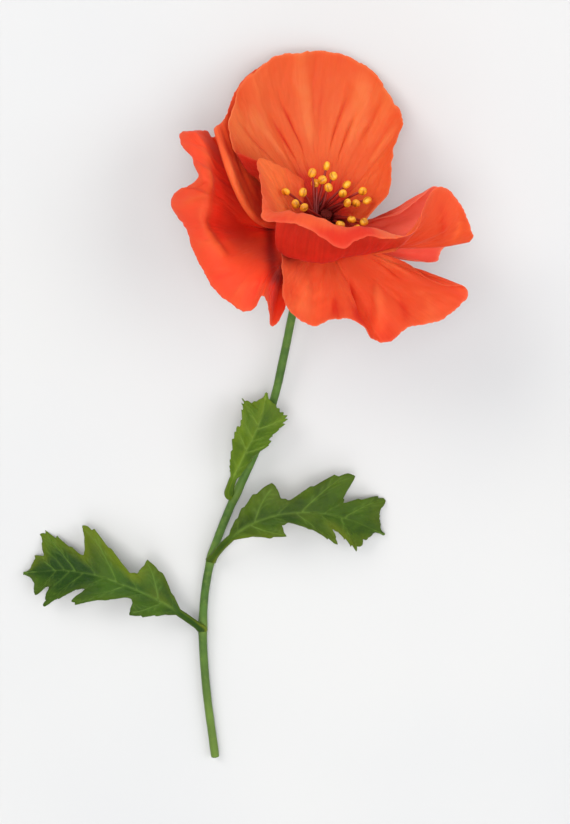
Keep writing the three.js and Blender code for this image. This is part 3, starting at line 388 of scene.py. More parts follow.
def petal_material(name, deep, base, light, edge, back, crevice_shade, deep_and_shade_to, edge_highlight_mix, blotch, streaks):
    m, nt, b = material(name); N = Net(nt)
    v = N.attr("reach"); relief_shade = N.attr("relief_shade"); rim = N.attr("rim"); crease_shade = N.attr("crease_shade")
    streak = N.noise(N.uv(95, 2.2), 1.0, 3, 0.55)
    fine = N.noise(N.uv(330, 9.0), 1.0, 2, 0.5)
    patch = N.noise(N.obj(1000 / 16.0), 1.0, 3, 0.5, 0.4)
    # painted shade and highlight: valleys and creases darker, crests lighter; darker towards the claw and lighter in
    # the outer half, partly the petal's own deeper base and partly painted shade
    f = N.math("MULTIPLY_ADD", relief_shade, 0.30, 0.58)
    f = N.math("MULTIPLY_ADD", crease_shade, 0.55, f)
    # painted light and shade: spots, hollows and fold lines move the colour darker and lighter
    f = N.math("ADD", f, N.attr("painted_light_shade"))
    f = N.math("MULTIPLY_ADD", N.math("SUBTRACT", streak, 0.5), streaks, f)
    f = N.math("MULTIPLY_ADD", N.math("SUBTRACT", patch, 0.5), 0.42, f)
    f = N.math("ADD", f, N.mapr(v, deep_and_shade_to * 0.35, deep_and_shade_to, -0.52, 0.0), clamp=True)
    col = N.mix(N.mapr(f, 0.0, 0.5), deep, base)
    col = N.mix(N.mapr(f, 0.5, 1.0), col, light)
    col = N.mix(N.math("MULTIPLY", N.math("SUBTRACT", fine, 0.35, clamp=True), 0.24), col, deep)
    # the underside is deeper, most of all towards the claw: partly the petal's own darker outer face, partly painted
    # shade
    weave = N.mapr(N.math("MULTIPLY_ADD", streak, 0.55, N.math("MULTIPLY", patch, 0.45)), 0.34, 0.66)
    outside = N.mix(weave, tuple(c * 0.84 for c in back), tuple(min(1.0, c * 1.12 + 0.003) for c in back))
    col = N.mix(N.attr("underside_tint_and_shade"), col, outside)
    # painted shade: darkened towards a near-black red in tight folds and crevices where the petals crowd
    col = N.mix(N.attr("crevice_shade"), col, crevice_shade)
    # a dark stain at the very base of the inner face
    stain = N.math("MULTIPLY", N.mapr(N.math("MULTIPLY_ADD", N.math("SUBTRACT", streak, 0.5), 0.10, v), 0.04, 0.20, 0.60, 0.0), N.math("SUBTRACT", 1.0, N.attr("outer")))
    col = N.mix(stain, col, blotch)
    # painted highlight: a paler band along the free edge, as where the edge catches the light
    col = N.mix(N.math("MULTIPLY", rim, edge_highlight_mix), col, edge)
    nt.links.new(col, b.inputs["Base Color"])
    r = N.math("MULTIPLY_ADD", N.math("SUBTRACT", streak, 0.5), 0.22, 0.60)
    nt.links.new(r, b.inputs["Roughness"])
    h = N.math("MULTIPLY_ADD", fine, 0.45, N.math("MULTIPLY", streak, 1.0))
    grain = N.noise(N.obj(1000 / 0.9), 1.0, 2, 0.5)
    h = N.math("MULTIPLY_ADD", grain, 0.30, h)
    nt.links.new(N.bump(h, 0.00013, 0.55), b.inputs["Normal"])
    b.inputs["Specular IOR Level"].default_value = 0.18
    b.inputs["Subsurface Weight"].default_value = 0.45
    b.inputs["Subsurface Radius"].default_value = (1.0, 0.25, 0.10)
    b.inputs["Subsurface Scale"].default_value = 0.0022
    b.inputs["Sheen Weight"].default_value = 0.02
    b.inputs["Sheen Roughness"].default_value = 0.5
    return m


STAIN = srgb(92, 14, 14)
# painted shade: the near-black red that crevices and crowded folds are darkened towards
SHADE_DARK = srgb(112, 12, 5)
# painted light and shade: the petals' colour sets differ partly to follow how each petal is lit, partly as their own
# colour
PETAL_MATS = {
    "petal_back": petal_material("petal_back_tissue", srgb(206, 44, 24), srgb(218, 90, 42), srgb(226, 113, 60), srgb(234, 132, 86), srgb(200, 54, 26), SHADE_DARK, 0.46, 0.28, STAIN, 0.34),
    "petal_front": petal_material("petal_front_tissue", srgb(206, 46, 24), srgb(222, 84, 42), srgb(246, 113, 56), srgb(232, 110, 78), srgb(190, 27, 6), SHADE_DARK, 0.46, 0.26, STAIN, 0.30),
    "petal_left": petal_material("petal_left_tissue", srgb(236, 48, 22), srgb(226, 68, 34), srgb(223, 84, 41), srgb(232, 108, 70), srgb(198, 44, 18), SHADE_DARK, 0.26, 0.22, STAIN, 0.16),
    "petal_back_left": petal_material("petal_back_left_tissue", srgb(214, 42, 20), srgb(226, 76, 36), srgb(238, 98, 48), srgb(238, 118, 82), srgb(200, 46, 20), SHADE_DARK, 0.26, 0.22, STAIN, 0.16),
    "petal_lower": petal_material("petal_lower_tissue", srgb(208, 48, 26), srgb(230, 88, 48), srgb(241, 109, 62), srgb(234, 122, 90), srgb(200, 46, 20), SHADE_DARK, 0.34, 0.22, STAIN, 0.30),
    "petal_right": petal_material("petal_right_tissue", srgb(222, 74, 54), srgb(234, 104, 80), srgb(240, 120, 94), srgb(240, 132, 104), srgb(206, 54, 26), SHADE_DARK, 0.26, 0.26, STAIN, 0.30),
}


def green_material(name, dark, mid, pale, rough=0.5, scale=7.0, grain_mm=0.5, along=None, stained=None):
    m, nt, b = material(name); N = Net(nt)
    n1 = N.noise(N.obj(1000 / scale), 1.0, 3, 0.55, 0.3)
    n2 = N.noise(N.obj(1000 / (scale * 0.22)), 1.0, 3, 0.6)
    col = N.mix(N.mapr(n1, 0.35, 0.65), dark, mid)
    if along:
        col = N.mix(N.math("MULTIPLY", N.attr(along), 0.75), col, pale)
    col = N.mix(N.math("MULTIPLY", N.mapr(n2, 0.5, 0.8), 0.35), col, pale)
    if stained:
        col = N.mix(N.attr(stained), col, STAIN)
    nt.links.new(col, b.inputs["Base Color"])
    nt.links.new(N.math("MULTIPLY_ADD", n2, 0.25, rough - 0.12), b.inputs["Roughness"])
    nt.links.new(N.bump(N.noise(N.obj(1000 / grain_mm), 1.0, 3, 0.6), 0.0001, 0.5), b.inputs["Normal"])
    b.inputs["Specular IOR Level"].default_value = 0.28
    return m


STEM_MAT = green_material("stem_skin", srgb(56, 88, 30), srgb(80, 114, 42), srgb(124, 146, 58), 0.52, 14.0, 0.6, "pale")
CUT_MAT = green_material("cut_pith", srgb(150, 170, 104), srgb(176, 192, 128), srgb(206, 214, 160), 0.7, 1.2, 0.25)
RECEPT_MAT = green_material("receptacle_skin", srgb(58, 84, 36), srgb(86, 112, 48), srgb(128, 140, 66), 0.55, 3.0, 0.4, None, "inside")


def ovary_material():
    m, nt, b = material("capsule_skin"); N = Net(nt)
    rib = N.attr("rib"); cap = N.attr("cap")
    n = N.noise(N.obj(1000 / 1.4), 1.0, 3, 0.6)
    col = N.mix(N.mapr(rib, -1.0, 1.0), srgb(96, 20, 14), srgb(136, 40, 24))
    col = N.mix(N.math("MULTIPLY", cap, 0.85), col, srgb(92, 14, 12))
    col = N.mix(N.math("MULTIPLY", N.mapr(n, 0.5, 0.8), 0.3), col, srgb(104, 52, 34))
    nt.links.new(col, b.inputs["Base Color"])
    nt.links.new(N.math("MULTIPLY_ADD", n, 0.2, 0.6), b.inputs["Roughness"])
    nt.links.new(N.bump(n, 0.00012, 0.6), b.inputs["Normal"])
    b.inputs["Specular IOR Level"].default_value = 0.18
    return m


def anther_material():
    m, nt, b = material("pollen_sac"); N = Net(nt)
    n = N.noise(N.obj(1000 / 0.32), 1.0, 3, 0.6)
    big = N.noise(N.obj(1000 / 1.6), 1.0, 2, 0.5)
    col = N.mix(N.mapr(big, 0.3, 0.7), srgb(222, 142, 14), srgb(250, 192, 44))
    col = N.mix(N.math("MULTIPLY", N.attr("seam"), 0.75), col, srgb(150, 78, 10))
    col = N.mix(N.math("MULTIPLY", N.mapr(n, 0.55, 0.8), 0.45), col, srgb(255, 222, 110))
    nt.links.new(col, b.inputs["Base Color"])
    nt.links.new(N.math("MULTIPLY_ADD", n, 0.25, 0.30), b.inputs["Roughness"])
    nt.links.new(N.bump(n, 0.0001, 0.5), b.inputs["Normal"])
    b.inputs["Subsurface Weight"].default_value = 0.12
    b.inputs["Subsurface Radius"].default_value = (1.0, 0.6, 0.2)
    b.inputs["Subsurface Scale"].default_value = 0.0006
    return m


def filament_material():
    m, nt, b = material("filament_skin"); N = Net(nt)
    up = N.attr("up")
    n = N.noise(N.obj(1000 / 0.9), 1.0, 3, 0.6)
    col = N.mix(N.mapr(up, 0.1, 1.0), srgb(112, 10, 8), srgb(150, 26, 12))
    col = N.mix(N.math("MULTIPLY", N.mapr(n, 0.5, 0.8), 0.5), col, srgb(52, 8, 10))
    nt.links.new(col, b.inputs["Base Color"])
    nt.links.new(N.math("MULTIPLY_ADD", n, 0.2, 0.40), b.inputs["Roughness"])
    nt.links.new(N.bump(n, 0.00006, 0.4), b.inputs["Normal"])
    return m


def leaf_material(name, dark, mid, lit, vein):
    m, nt, b = material(name); N = Net(nt)
    big = N.noise(N.obj(1000 / 17.0), 1.0, 3, 0.55, 0.5)
    small = N.noise(N.obj(1000 / 2.2), 1.0, 4, 0.6)
    cell = N.noise(N.obj(1000 / 0.45), 1.0, 2, 0.6)
    f = N.math("ADD", N.mapr(big, 0.32, 0.68), N.math("MULTIPLY", N.math("SUBTRACT", small, 0.5), 0.5), clamp=True)
    col = N.mix(f, dark, mid)
    col = N.mix(N.math("MULTIPLY", N.attr("lit"), 0.85), col, lit)
    col = N.mix(N.math("MULTIPLY", N.attr("vein"), 0.50), col, vein)
    col = N.mix(N.math("MULTIPLY", N.mapr(cell, 0.5, 0.8), 0.16), col, lit)
    nt.links.new(col, b.inputs["Base Color"])
    nt.links.new(N.math("MULTIPLY_ADD", small, 0.25, 0.44), b.inputs["Roughness"])
    h = N.math("MULTIPLY_ADD", cell, 0.4, N.math("MULTIPLY", small, 1.2))
    nt.links.new(N.bump(h, 0.00016, 0.6), b.inputs["Normal"])
    b.inputs["Specular IOR Level"].default_value = 0.18
    b.inputs["Subsurface Weight"].default_value = 0.10
    b.inputs["Subsurface Radius"].default_value = (0.4, 1.0, 0.1)
    b.inputs["Subsurface Scale"].default_value = 0.0010
    return m


OVARY_MAT, ANTHER_MAT, FILAMENT_MAT = ovary_material(), anther_material(), filament_material()
LEAF_MATS = {
    "leaf_left": leaf_material("leaf_left_blade", srgb(28, 58, 6), srgb(54, 86, 9), srgb(102, 117, 14), srgb(102, 134, 50)),
    "leaf_right": leaf_material("leaf_right_blade", srgb(32, 56, 6), srgb(59, 86, 9), srgb(103, 117, 14), srgb(106, 135, 50)),
    "leaf_upper": leaf_material("leaf_upper_blade", srgb(44, 76, 8), srgb(74, 104, 12), srgb(116, 135, 22), srgb(126, 152, 58)),
}


# ------------------------------------------------------------------ petals
def petal_net(spec):
    rim = [np.array(p, float) for p in spec["rim"]]; n = len(rim)
    cum, length = shares(rim)
    r = [np.linalg.norm(p) for p in rim]
    op = [math.degrees(math.acos(max(-1, min(1, float(p @ AXIS) / q)))) for p, q in zip(rim, r)]
    az = [math.degrees(math.atan2(p @ SIDE_2, p @ SIDE_1)) % 360 for p in rim]
    turn = lambda a, b: (a - b + 180) % 360 - 180
    way = 1 if turn(az[-1], spec["phi"]) > turn(az[0], spec["phi"]) else -1
    belly = {int(b[0]): np.array(b[1:], float) for b in spec["belly"]}
    leave = {int(b[0]): np.array(b[1:], float) for b in spec["leave"]}
    Q = np.zeros((n, 4, 3))
    for j in range(n):
        foot = spec["phi"] + way * (2 * cum[j] - 1) * spec["arc"]
        Q[j, 0] = heading(90, foot) * spec["ring"] + AXIS * spec["h"]
        Q[j, 1] = leave[j] if j in leave else Q[j, 0] + 0.28 * r[j] * heading(spec["al0"], foot + 0.35 * turn(az[j], foot))
        Q[j, 2] = belly[j] if j in belly else 0.72 * r[j] * heading(op[j] + spec["bulge"], az[j] - 0.1 * turn(az[j], foot))
        Q[j, 3] = rim[j]
    return Q, cum, length


def petal_surface(spec, t, v):
    Q, cum, length = petal_net(spec)
    C = crom(Q, np.interp(t, cum, np.arange(len(Q))))
    v = v[None, :, None]
    V = (1 - v) ** 3 * C[:, None, 0] + 3 * (1 - v) ** 2 * v * C[:, None, 1] + 3 * (1 - v) * v * v * C[:, None, 2] + v ** 3 * C[:, None, 3]
    return V, length


# creases: t at the claw end, reach there, t at the rim end, reach there, width in t, depth in mm (minus sinks it)
CREASES = {
    "petal_back": [
        [0.383, 0.448, 0.349, 0.732, 0.005, -1], [0.331, 0.402, 0.305, 0.674, 0.005, -0.8], [0.517, 0.464, 0.549, 0.782, 0.005, -1],
        [0.565, 0.431, 0.589, 0.766, 0.005, -0.8], [0.427, 0.464, 0.421, 0.874, 0.017, 0.7], [0.467, 0.49, 0.471, 0.828, 0.009, -0.45],
        [0.595, 0.594, 0.585, 0.962, 0.016, 0.9], [0.637, 0.607, 0.651, 0.925, 0.006, -0.6], [0.275, 0.456, 0.248, 0.816, 0.012, 0.7],
        [0.216, 0.464, 0.186, 0.858, 0.005, -0.6], [0.725, 0.556, 0.725, 0.883, 0.01, 0.6], [0.451, 0.623, 0.443, 0.941, 0.006, -0.4],
        [0.701, 0.686, 0.699, 0.971, 0.005, -0.5]],
    "petal_front": [
        [0.413, 0.615, 0.439, 0.958, 0.01, -0.4], [0.515, 0.552, 0.503, 0.941, 0.014, 0.5], [0.615, 0.598, 0.605, 0.975, 0.012, -0.5],
        [0.948, 0.741, 0.838, 0.95, 0.017, -0.5], [0.968, 0.833, 0.908, 0.979, 0.015, 0.5]],
    "petal_lower": [
        [0.224, 0.619, 0.226, 0.941, 0.022, 0.8], [0.353, 0.678, 0.335, 0.983, 0.014, -0.7], [0.521, 0.431, 0.405, 1, 0.017, -0.9],
        [0.641, 0.544, 0.523, 0.925, 0.022, 0.9], [0.689, 0.649, 0.603, 0.996, 0.014, -0.5], [0.747, 0.757, 0.693, 0.967, 0.02, 0.5],
        [0.798, 0.41, 0.784, 0.607, 0.008, 0.9], [0.768, 0.397, 0.747, 0.59, 0.006, -0.9]],
    "petal_left": [
        [0.583, 0.849, 0.571, 0.996, 0.013, 0.5], [0.693, 0.849, 0.669, 0.996, 0.01, -0.6], [0.749, 0.854, 0.743, 0.992, 0.013, 0.7],
        [0.788, 0.845, 0.786, 0.979, 0.008, -0.6], [0.856, 0.916, 0.926, 1, 0.006, -0.6], [0.405, 0.82, 0.461, 0.967, 0.014, 0.6],
        [0.341, 0.879, 0.399, 0.95, 0.008, -0.6], [0.172, 0.808, 0.202, 0.958, 0.009, -0.5]],
    "petal_back_left": [
        [0.044, 0.548, 0.016, 0.904, 0.022, 0.6], [0.096, 0.506, 0.136, 0.862, 0.016, -0.5]],
    "petal_right": [
        [0.605, 0.636, 0.455, 0.941, 0.029, -0.7]]}
RIDGES = {
    "petal_left": [[0.16, 0.64, 0.8, 0.035, 0.55]]}
# painted shade: darker patches on the inner faces, in the hollows that lie in the shadow of the petals above
HOLLOW_SHADE = {
    "petal_left": [[0.02, 0.6, 0.69, 0.4]],
    "petal_back_left": [[-0.2, 0.6, 0.34, 0.4]]}
# soft spots of painted light and shade: middle in the bloom frame (mm), how far they reach (mm), painted light (plus)
# and shade (minus) added, how far mixed into the painted crevice shade
LIGHT_SHADE_SPOTS = {
    "petal_left": [
        [-37.3, 9, 19.9, 4, 0, 0.22], [-37.4, -0.3, 18.7, 4.5, 0, 0.25], [-17.4, -22.9, 23.6, 3, -0.4, 0.1], [-17.5, -28.8, 20.1, 4.5, -0.4, 0],
        [-20.7, -19.3, 27.6, 3, -0.2, 0]],
    "petal_lower": [
        [-13.5, -10.9, 13.4, 3.5, -0.4, 0.8], [-10, -12.7, 11.2, 4, -0.3, 0.35], [-0.6, -14.6, 5.2, 5, -0.15, 0], [-5.3, -22.6, 15, 9, 0.22, 0],
        [18, -38.7, 21, 6, -0.35, 0], [11, -30.4, 25.3, 4, -0.25, 0], [21.9, -14.5, 9.8, 2, 0.5, 0]],
    "petal_front": [
        [-14.9, -4.3, 29.2, 4.5, -0.2, 0.45], [23.6, -1.4, 44.1, 7, 0.2, 0], [-15.9, 9.1, 14.3, 8, 0.45, 0], [-17.2, 16.9, 9.7, 6, 0.4, 0],
        [-15.1, -0.3, 46.8, 3, -0.35, 0], [-8.5, -2, 35.2, 4, -0.5, 0], [-1.7, -4.7, 50.3, 4, -0.55, 0], [6.1, -8.1, 50.7, 5, -0.6, 0],
        [13.9, -4.2, 50.7, 4, -0.55, 0]],
    "petal_back_left": [
        [-26.4, 5.6, 16.3, 6, 0.6, 0], [-29.8, 13.8, 17.2, 3.5, 0.45, 0]],
    "petal_back": [
        [-24.8, 18, 10.3, 4.4, -0.8, 0.36], [-28.2, 20.9, 13.4, 3, -0.7, 0.3], [17.6, 36.2, -9.2, 9, 0.2, 0], [-28.7, 32, 3.3, 8, 0.3, 0]],
    "petal_right": [
        [33.9, -11, 6.6, 5, -0.4, 0.08], [24.5, -8.7, 2.9, 5, -0.4, 0.14], [38.5, -12.7, 8.8, 4, -0.4, 0.05]]}
# painted shade in tight folds between two petals: a line in the bloom frame's x and y (mm), its width (mm), painted
# light (plus) and shade (minus) added, how far mixed into the painted crevice shade
CREVICE_SHADE_LINES = {
    "petal_back_left": [[-23.5, 11, -22.4, 1.5, 1.4, -0.5, 0.35]],
    "petal_left": [[-19.7, -0.9, -18.7, -9.8, 1.5, -0.4, 0.85], [-18.7, -9.8, -16.8, -19.5, 1.7, -0.4, 0.85]]}
# how deep the underside is, partly its own colour and partly painted shade: near the claw, at the rim, and the share of
# the rim past which it is lighter, painted light where that lobe is lit
UNDERSIDE_TINT_SHADE = {"petal_back": (0.60, 0.25, 2.0), "petal_front": (0.94, 0.58, 0.70), "petal_left": (0.70, 0.30, 2.0), "petal_lower": (0.70, 0.30, 2.0), "petal_back_left": (0.70, 0.30, 2.0), "petal_right": (0.60, 0.25, 2.0)}
RELIEF = {
    "petal_back": {"seed": 11, "wave": 0.7, "rib": 0.3, "fine": 0.08, "crepe": 0.38, "ruffle": 0.95, "ruffle_mm": 9, "start": 0.04, "nick": 0.7},
    "petal_front": {"seed": 22, "wave": 0.5, "rib": 0.26, "fine": 0.07, "crepe": 0.24, "ruffle": 0.7, "ruffle_mm": 9, "start": 0.04, "nick": 0.6},
    "petal_lower": {"seed": 33, "wave": 0.8, "rib": 0.2, "fine": 0.06, "crepe": 0.32, "ruffle": 1, "ruffle_mm": 8, "start": 0.3, "nick": 0.7},
    "petal_left": {"seed": 44, "wave": 0.6, "rib": 0.14, "fine": 0.04, "crepe": 0.24, "ruffle": 0.9, "ruffle_mm": 8, "start": 0.4, "nick": 0.7},
    "petal_back_left": {"seed": 55, "wave": 0.4, "rib": 0.26, "fine": 0.07, "crepe": 0.24, "ruffle": 0.7, "ruffle_mm": 8, "start": 0.04, "nick": 0.5},
    "petal_right": {"seed": 66, "wave": 0.5, "rib": 0.28, "fine": 0.08, "crepe": 0.26, "ruffle": 0.6, "ruffle_mm": 8, "start": 0.04, "nick": 0.5}}


def petal_relief(name, T, V, length):
    """height along the inner normal in mm, over share of the rim T and reach V, and the creases' part of it"""
    d = np.zeros_like(T)
    for t0, t1, vc, w, height in RIDGES.get(name, []):
        win = smooth(t0 - 0.03, t0 + 0.03, T) * (1 - smooth(t1 - 0.03, t1 + 0.03, T))
        d += win * (height * np.exp(-0.5 * ((V - vc) / w) ** 2) - 1.1 * height * np.exp(-0.5 * ((V - vc + 2.4 * w) / (1.25 * w)) ** 2))
    for t0, v0, t1, v1, w, depth in CREASES.get(name, []):
        k = np.clip((V - v0) / (v1 - v0), 0, 1)
        tc = t0 + (t1 - t0) * k
        g = np.exp(-0.5 * ((T - tc) / (w * (0.55 + 0.6 * k))) ** 2)
        d += depth * g * smooth(v0 - 0.10, v0 + 0.10, V) * (1 - smooth(v1 - 0.14, v1 + 0.10, V))
    lines = d.copy()
    p = RELIEF[name]
    n = length / 10.0                      # lattice cells along the rim, one per 10 mm
    seed = p["seed"]
    wav = fbm(T * n * 0.9, V * 2.2, seed, 2)                     # broad unevenness
    rib = noise2(T * n * 2.6, V * 1.4, seed + 5)                 # soft radiating ribs
    fine = noise2(T * n * 7.5, V * 2.6, seed + 9)                # fine ribs
    crk = fbm(T * n * 3.0 + 3 * wav, V * 9.0, seed + 13, 3)      # crepe
    inner = smooth(p["start"], p["start"] + 0.26, V)
    d += p["wave"] * wav * inner + p["rib"] * rib * inner * (1 - 0.45 * smooth(0.75, 1.0, V)) + p["fine"] * fine * inner + p["crepe"] * crk * inner
    ruf = noise2(T * length / p["ruffle_mm"], V * 0.8 + 7, seed + 21)
    d += p["ruffle"] * ruf * smooth(p.get("ruffle_from", 0.62), 1.0, V) ** 1.4
    ends = smooth(0.0, 0.02, T) * (1 - smooth(0.98, 1.0, T))
    return d * (0.35 + 0.65 * ends), lines


def make_petal(name, nu, nv):
    spec = PETALS[name]
    t = np.linspace(0, 1, nu); v = np.linspace(0, 1, nv) ** 0.92
    V, length = petal_surface(spec, t, v)
    N = grid_normals(V)
    # the inner face looks along the axis
    mid = N[nu // 2, nv // 3]
    inner_sign = 1.0 if mid @ AXIS > 0 else -1.0
    N = N * inner_sign
    T, R = np.meshgrid(t, v, indexing="ij")
    d, lines = petal_relief(name, T, R, length)
    V = V + N * d[..., None]
    # a slightly uneven edge, in the sheet
    p = RELIEF[name]
    dv = np.gradient(V, axis=1); dv /= np.linalg.norm(dv, axis=2, keepdims=True) + 1e-9
    nick = noise2(t * length / 2.3, t * 0, p["seed"] + 31) * 0.5 + noise2(t * length / 0.9, t * 0, p["seed"] + 37) * 0.28
    nick = nick * p["nick"] * smooth(0.0, 0.03, t) * (1 - smooth(0.97, 1.0, t))
    V = V + dv * (nick[:, None] * smooth(0.86, 1.0, R))[..., None]
    thick = 0.42 - 0.20 * smooth(0.80, 1.0, R) + 0.25 * (1 - smooth(0.0, 0.12, R))
    N2 = grid_normals(V) * inner_sign
    verts, F, src = shell_mesh(V, thick, N2)
    F = outward(verts, F)
    row = to_row(verts)
    row[:, 2] = np.where(row[:, 2] < 0.00012, 0.00012 + (row[:, 2] - 0.00012) * 0.04, row[:, 2])
    # rim: the band along the free edge that takes the painted edge highlight
    mm_from_rim = (1 - R) * np.linalg.norm(V[:, -1] - V[:, 0], axis=1)[:, None]
    rim = 1 - smooth(0.0, 1.3, mm_from_rim)
    if name == "petal_front":            # its tucked-in end lies on the petal behind, with no lit edge
        rim = rim * smooth(0.14, 0.20, T)
    if name == "petal_back":             # the turned-under corner is in a fold, in shade, so its painted edge highlight is dimmed
        rim = rim * (0.35 + 0.65 * smooth(0.04, 0.10, T))
    # the relief, clipped, for the material: its valleys take painted shade and its crests painted highlight
    curv = d - 0.5 * (np.roll(d, 3, 0) + np.roll(d, -3, 0))
    relief_shade = np.clip(d / 1.2, -1, 1) * 0.7
    # painted light and shade, laid on from hollows, spots and fold lines, with painted crevice shade alongside
    painted_light_shade = np.zeros_like(T); crevice_shade = np.zeros_like(T)
    for t0, t1, v1, deep in HOLLOW_SHADE.get(name, []):
        edge = v1 + 0.02 * noise2(T * 30, R * 3, 5)
        painted_light_shade -= deep * smooth(t0 - 0.03, t0 + 0.04, T) * (1 - smooth(t1 - 0.04, t1 + 0.03, T)) * (1 - smooth(edge - 0.05, edge + 0.04, R))
    for x, y, z, reach, light_shade_lift, crevice_dark in LIGHT_SHADE_SPOTS.get(name, []):
        g = np.exp(-0.5 * (((V - np.array([x, y, z])) ** 2).sum(2)) / reach ** 2)
        painted_light_shade += light_shade_lift * g; crevice_shade = np.maximum(crevice_shade, crevice_dark * g)
    for ax, ay, bx, by, width, light_shade_lift, crevice_dark in CREVICE_SHADE_LINES.get(name, []):
        k = np.clip(((V[..., 0] - ax) * (bx - ax) + (V[..., 1] - ay) * (by - ay)) / ((bx - ax) ** 2 + (by - ay) ** 2), 0, 1)
        g = np.exp(-0.5 * ((V[..., 0] - ax - k * (bx - ax)) ** 2 + (V[..., 1] - ay - k * (by - ay)) ** 2) / width ** 2)
        painted_light_shade += light_shade_lift * g; crevice_shade = np.maximum(crevice_shade, crevice_dark * g)
    near, far, past = UNDERSIDE_TINT_SHADE[name]
    outer = np.zeros(len(src)); outer[nu * nv:2 * nu * nv] = 1.0; outer[2 * nu * nv:] = 0.5
    underside_tint_and_shade = outer * (near + (far - near) * smooth(0.5, 0.92, R) * 1.0 - 0.55 * near * smooth(past, past + 0.14, T)).clip(0, 1).ravel()[src]
    if name not in ("petal_back",):
        near_face = 1 - 0.85 * outer
    else:
        near_face = np.ones(len(src))
    floats = {"painted_light_shade": painted_light_shade.ravel()[src] * near_face, "crevice_shade": np.clip(crevice_shade, 0, 1).ravel()[src] * near_face, "underside_tint_and_shade": underside_tint_and_shade, "outer": outer, "reach": R.ravel()[src], "relief_shade": relief_shade.ravel()[src], "rim": rim.ravel()[src], "crease_shade": np.clip(lines / 1.6, -1, 1).ravel()[src]}
    uvs = np.stack([T.ravel() * length / 150.0 + p["seed"] * 0.37, R.ravel()], 1)[src]
    mat = PETAL_MATS[name]
    o = new_object("fine_" + name, row, F, [mat], uvs=uvs, floats=floats)
    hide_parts(name)
    return o


K = 1.0
GRID = {"petal_back": (300, 110), "petal_front": (380, 100), "petal_lower": (340, 80), "petal_left": (380, 100), "petal_back_left": (220, 80), "petal_right": (200, 70)}
for name, (a, b) in GRID.items():
    make_petal(name, int(a * K), int(b * K))


# ------------------------------------------------------------------ tubes, turned pieces
def tube(path, radius, sides, n, cross=None):
    """open tube: rings, faces, share along, path, tangents and length; capped() closes it. radius(s), cross(a, s)
    scales it
    """
    path = np.asarray(path, float)
    cum, length = shares(path)
    s = np.linspace(0, 1, n)
    C = crom(path, np.interp(s, cum, np.arange(len(path))))
    Tn = np.gradient(C, axis=0); Tn /= np.linalg.norm(Tn, axis=1)[:, None]
    ref = np.array([0.3, -0.5, 0.8]); vs, al, ang = [], [], []
    for i in range(n):
        ref = ref - (ref @ Tn[i]) * Tn[i]; ref /= np.linalg.norm(ref); b = np.cross(Tn[i], ref)
        for j in range(sides):
            a = 2 * math.pi * j / sides
            r = radius(s[i]) * (cross(a, s[i]) if cross else 1)
            vs.append(C[i] + r * (math.cos(a) * ref + math.sin(a) * b)); al.append(s[i]); ang.append(a)
    F = [(i * sides + j, i * sides + (j + 1) % sides, (i + 1) * sides + (j + 1) % sides, (i + 1) * sides + j) for i in range(n - 1) for j in range(sides)]
    return np.array(vs), F, np.array(al), C, Tn, length


def capped(vs, F, sides, n, C, bulge=(0.0, 0.0), Tn=None, rings=(0.72, 0.36)):
    """close both ends with rings that shrink to a point"""
    vs = [*vs]; F = [*F]; cap_faces = []
    for end, (base, sgn) in enumerate(((0, -1), ((n - 1) * sides, 1))):
        c = C[0] if end == 0 else C[-1]; tdir = Tn[0] * -1 if end == 0 else Tn[-1]
        prev = [base + j for j in range(sides)]
        ring0 = [vs[p] for p in prev]
        for k in rings:
            ids = []
            for j in range(sides):
                ids.append(len(vs)); vs.append(c + (ring0[j] - c) * k + tdir * bulge[end] * (1 - k * k))
            for j in range(sides):
                q = (prev[j], prev[(j + 1) % sides], ids[(j + 1) % sides], ids[j])
                F.append(q if end == 1 else q[::-1]); cap_faces.append(len(F) - 1)
            prev = ids
        m = len(vs); vs.append(c + tdir * bulge[end])
        for j in range(sides):
            q = (prev[j], prev[(j + 1) % sides], m)
            F.append(q if end == 1 else q[::-1]); cap_faces.append(len(F) - 1)
    return np.array(vs), F, cap_faces


def make_stem():
    sides, n = 28, 420
    leaf_at = LEAF_AT
    def radius(s):
        r = 1.50 + 0.10 * s - 0.10 * (1 - smooth(0.0, 0.06, s)) + 0.30 * (1 - smooth(0.0, 0.03, s))
        for p in leaf_at: r += 0.28 * math.exp(-0.5 * ((s - p) / 0.012) ** 2)
        return r + 0.03 * float(noise2(s * 40, 0.0, 3)) + 0.02 * float(noise2(s * 120, 0.0, 4))
    def cross(a, s):
        return 1 + 0.022 * math.cos(5 * a + 3 * s) + 0.012 * math.cos(9 * a - 4 * s) + 0.012 * float(noise2(a * 2.2, s * 60, 8))
    vs, F, al, C, Tn, length = tube(STEM_PATH, radius, sides, n, cross)
    vs, F, caps = capped(vs, F, sides, n, C, (0.1, -0.12), Tn, (0.93, 0.80, 0.5, 0.25))
    row = to_row(vs)
    row[:, 2] = np.where(row[:, 2] < 0.0, row[:, 2] * 0.05, row[:, 2])
    fm = np.zeros(len(F), int)
    half = len(caps) // 2
    for i in caps[half + 0:]: fm[i] = 1
    al = np.concatenate([al, np.zeros((len(vs) - len(al)) // 2), np.ones(len(vs) - len(al) - (len(vs) - len(al)) // 2)])
    pale = 0.55 * smooth(0.72, 1.0, al) + 0.25 * smooth(0.1, 0.0, al)
    for p in leaf_at: pale = pale + 0.4 * np.exp(-0.5 * ((al - p) / 0.012) ** 2)
    o = new_object("fine_stem", row, F, [STEM_MAT, CUT_MAT], fm, floats={"pale": pale})
    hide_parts("stem")
    return o


STEM_RUN = np.gradient(crom(STEM_PATH, np.linspace(0, len(STEM_PATH) - 1, 900)), axis=0)
STEM_RUN /= np.linalg.norm(STEM_RUN, axis=1)[:, None]      # towards the cut foot
STEM_FINE = crom(STEM_PATH, np.linspace(0, len(STEM_PATH) - 1, 900))
LEAF_AT = [0.496, 0.618, 0.75]
make_stem()


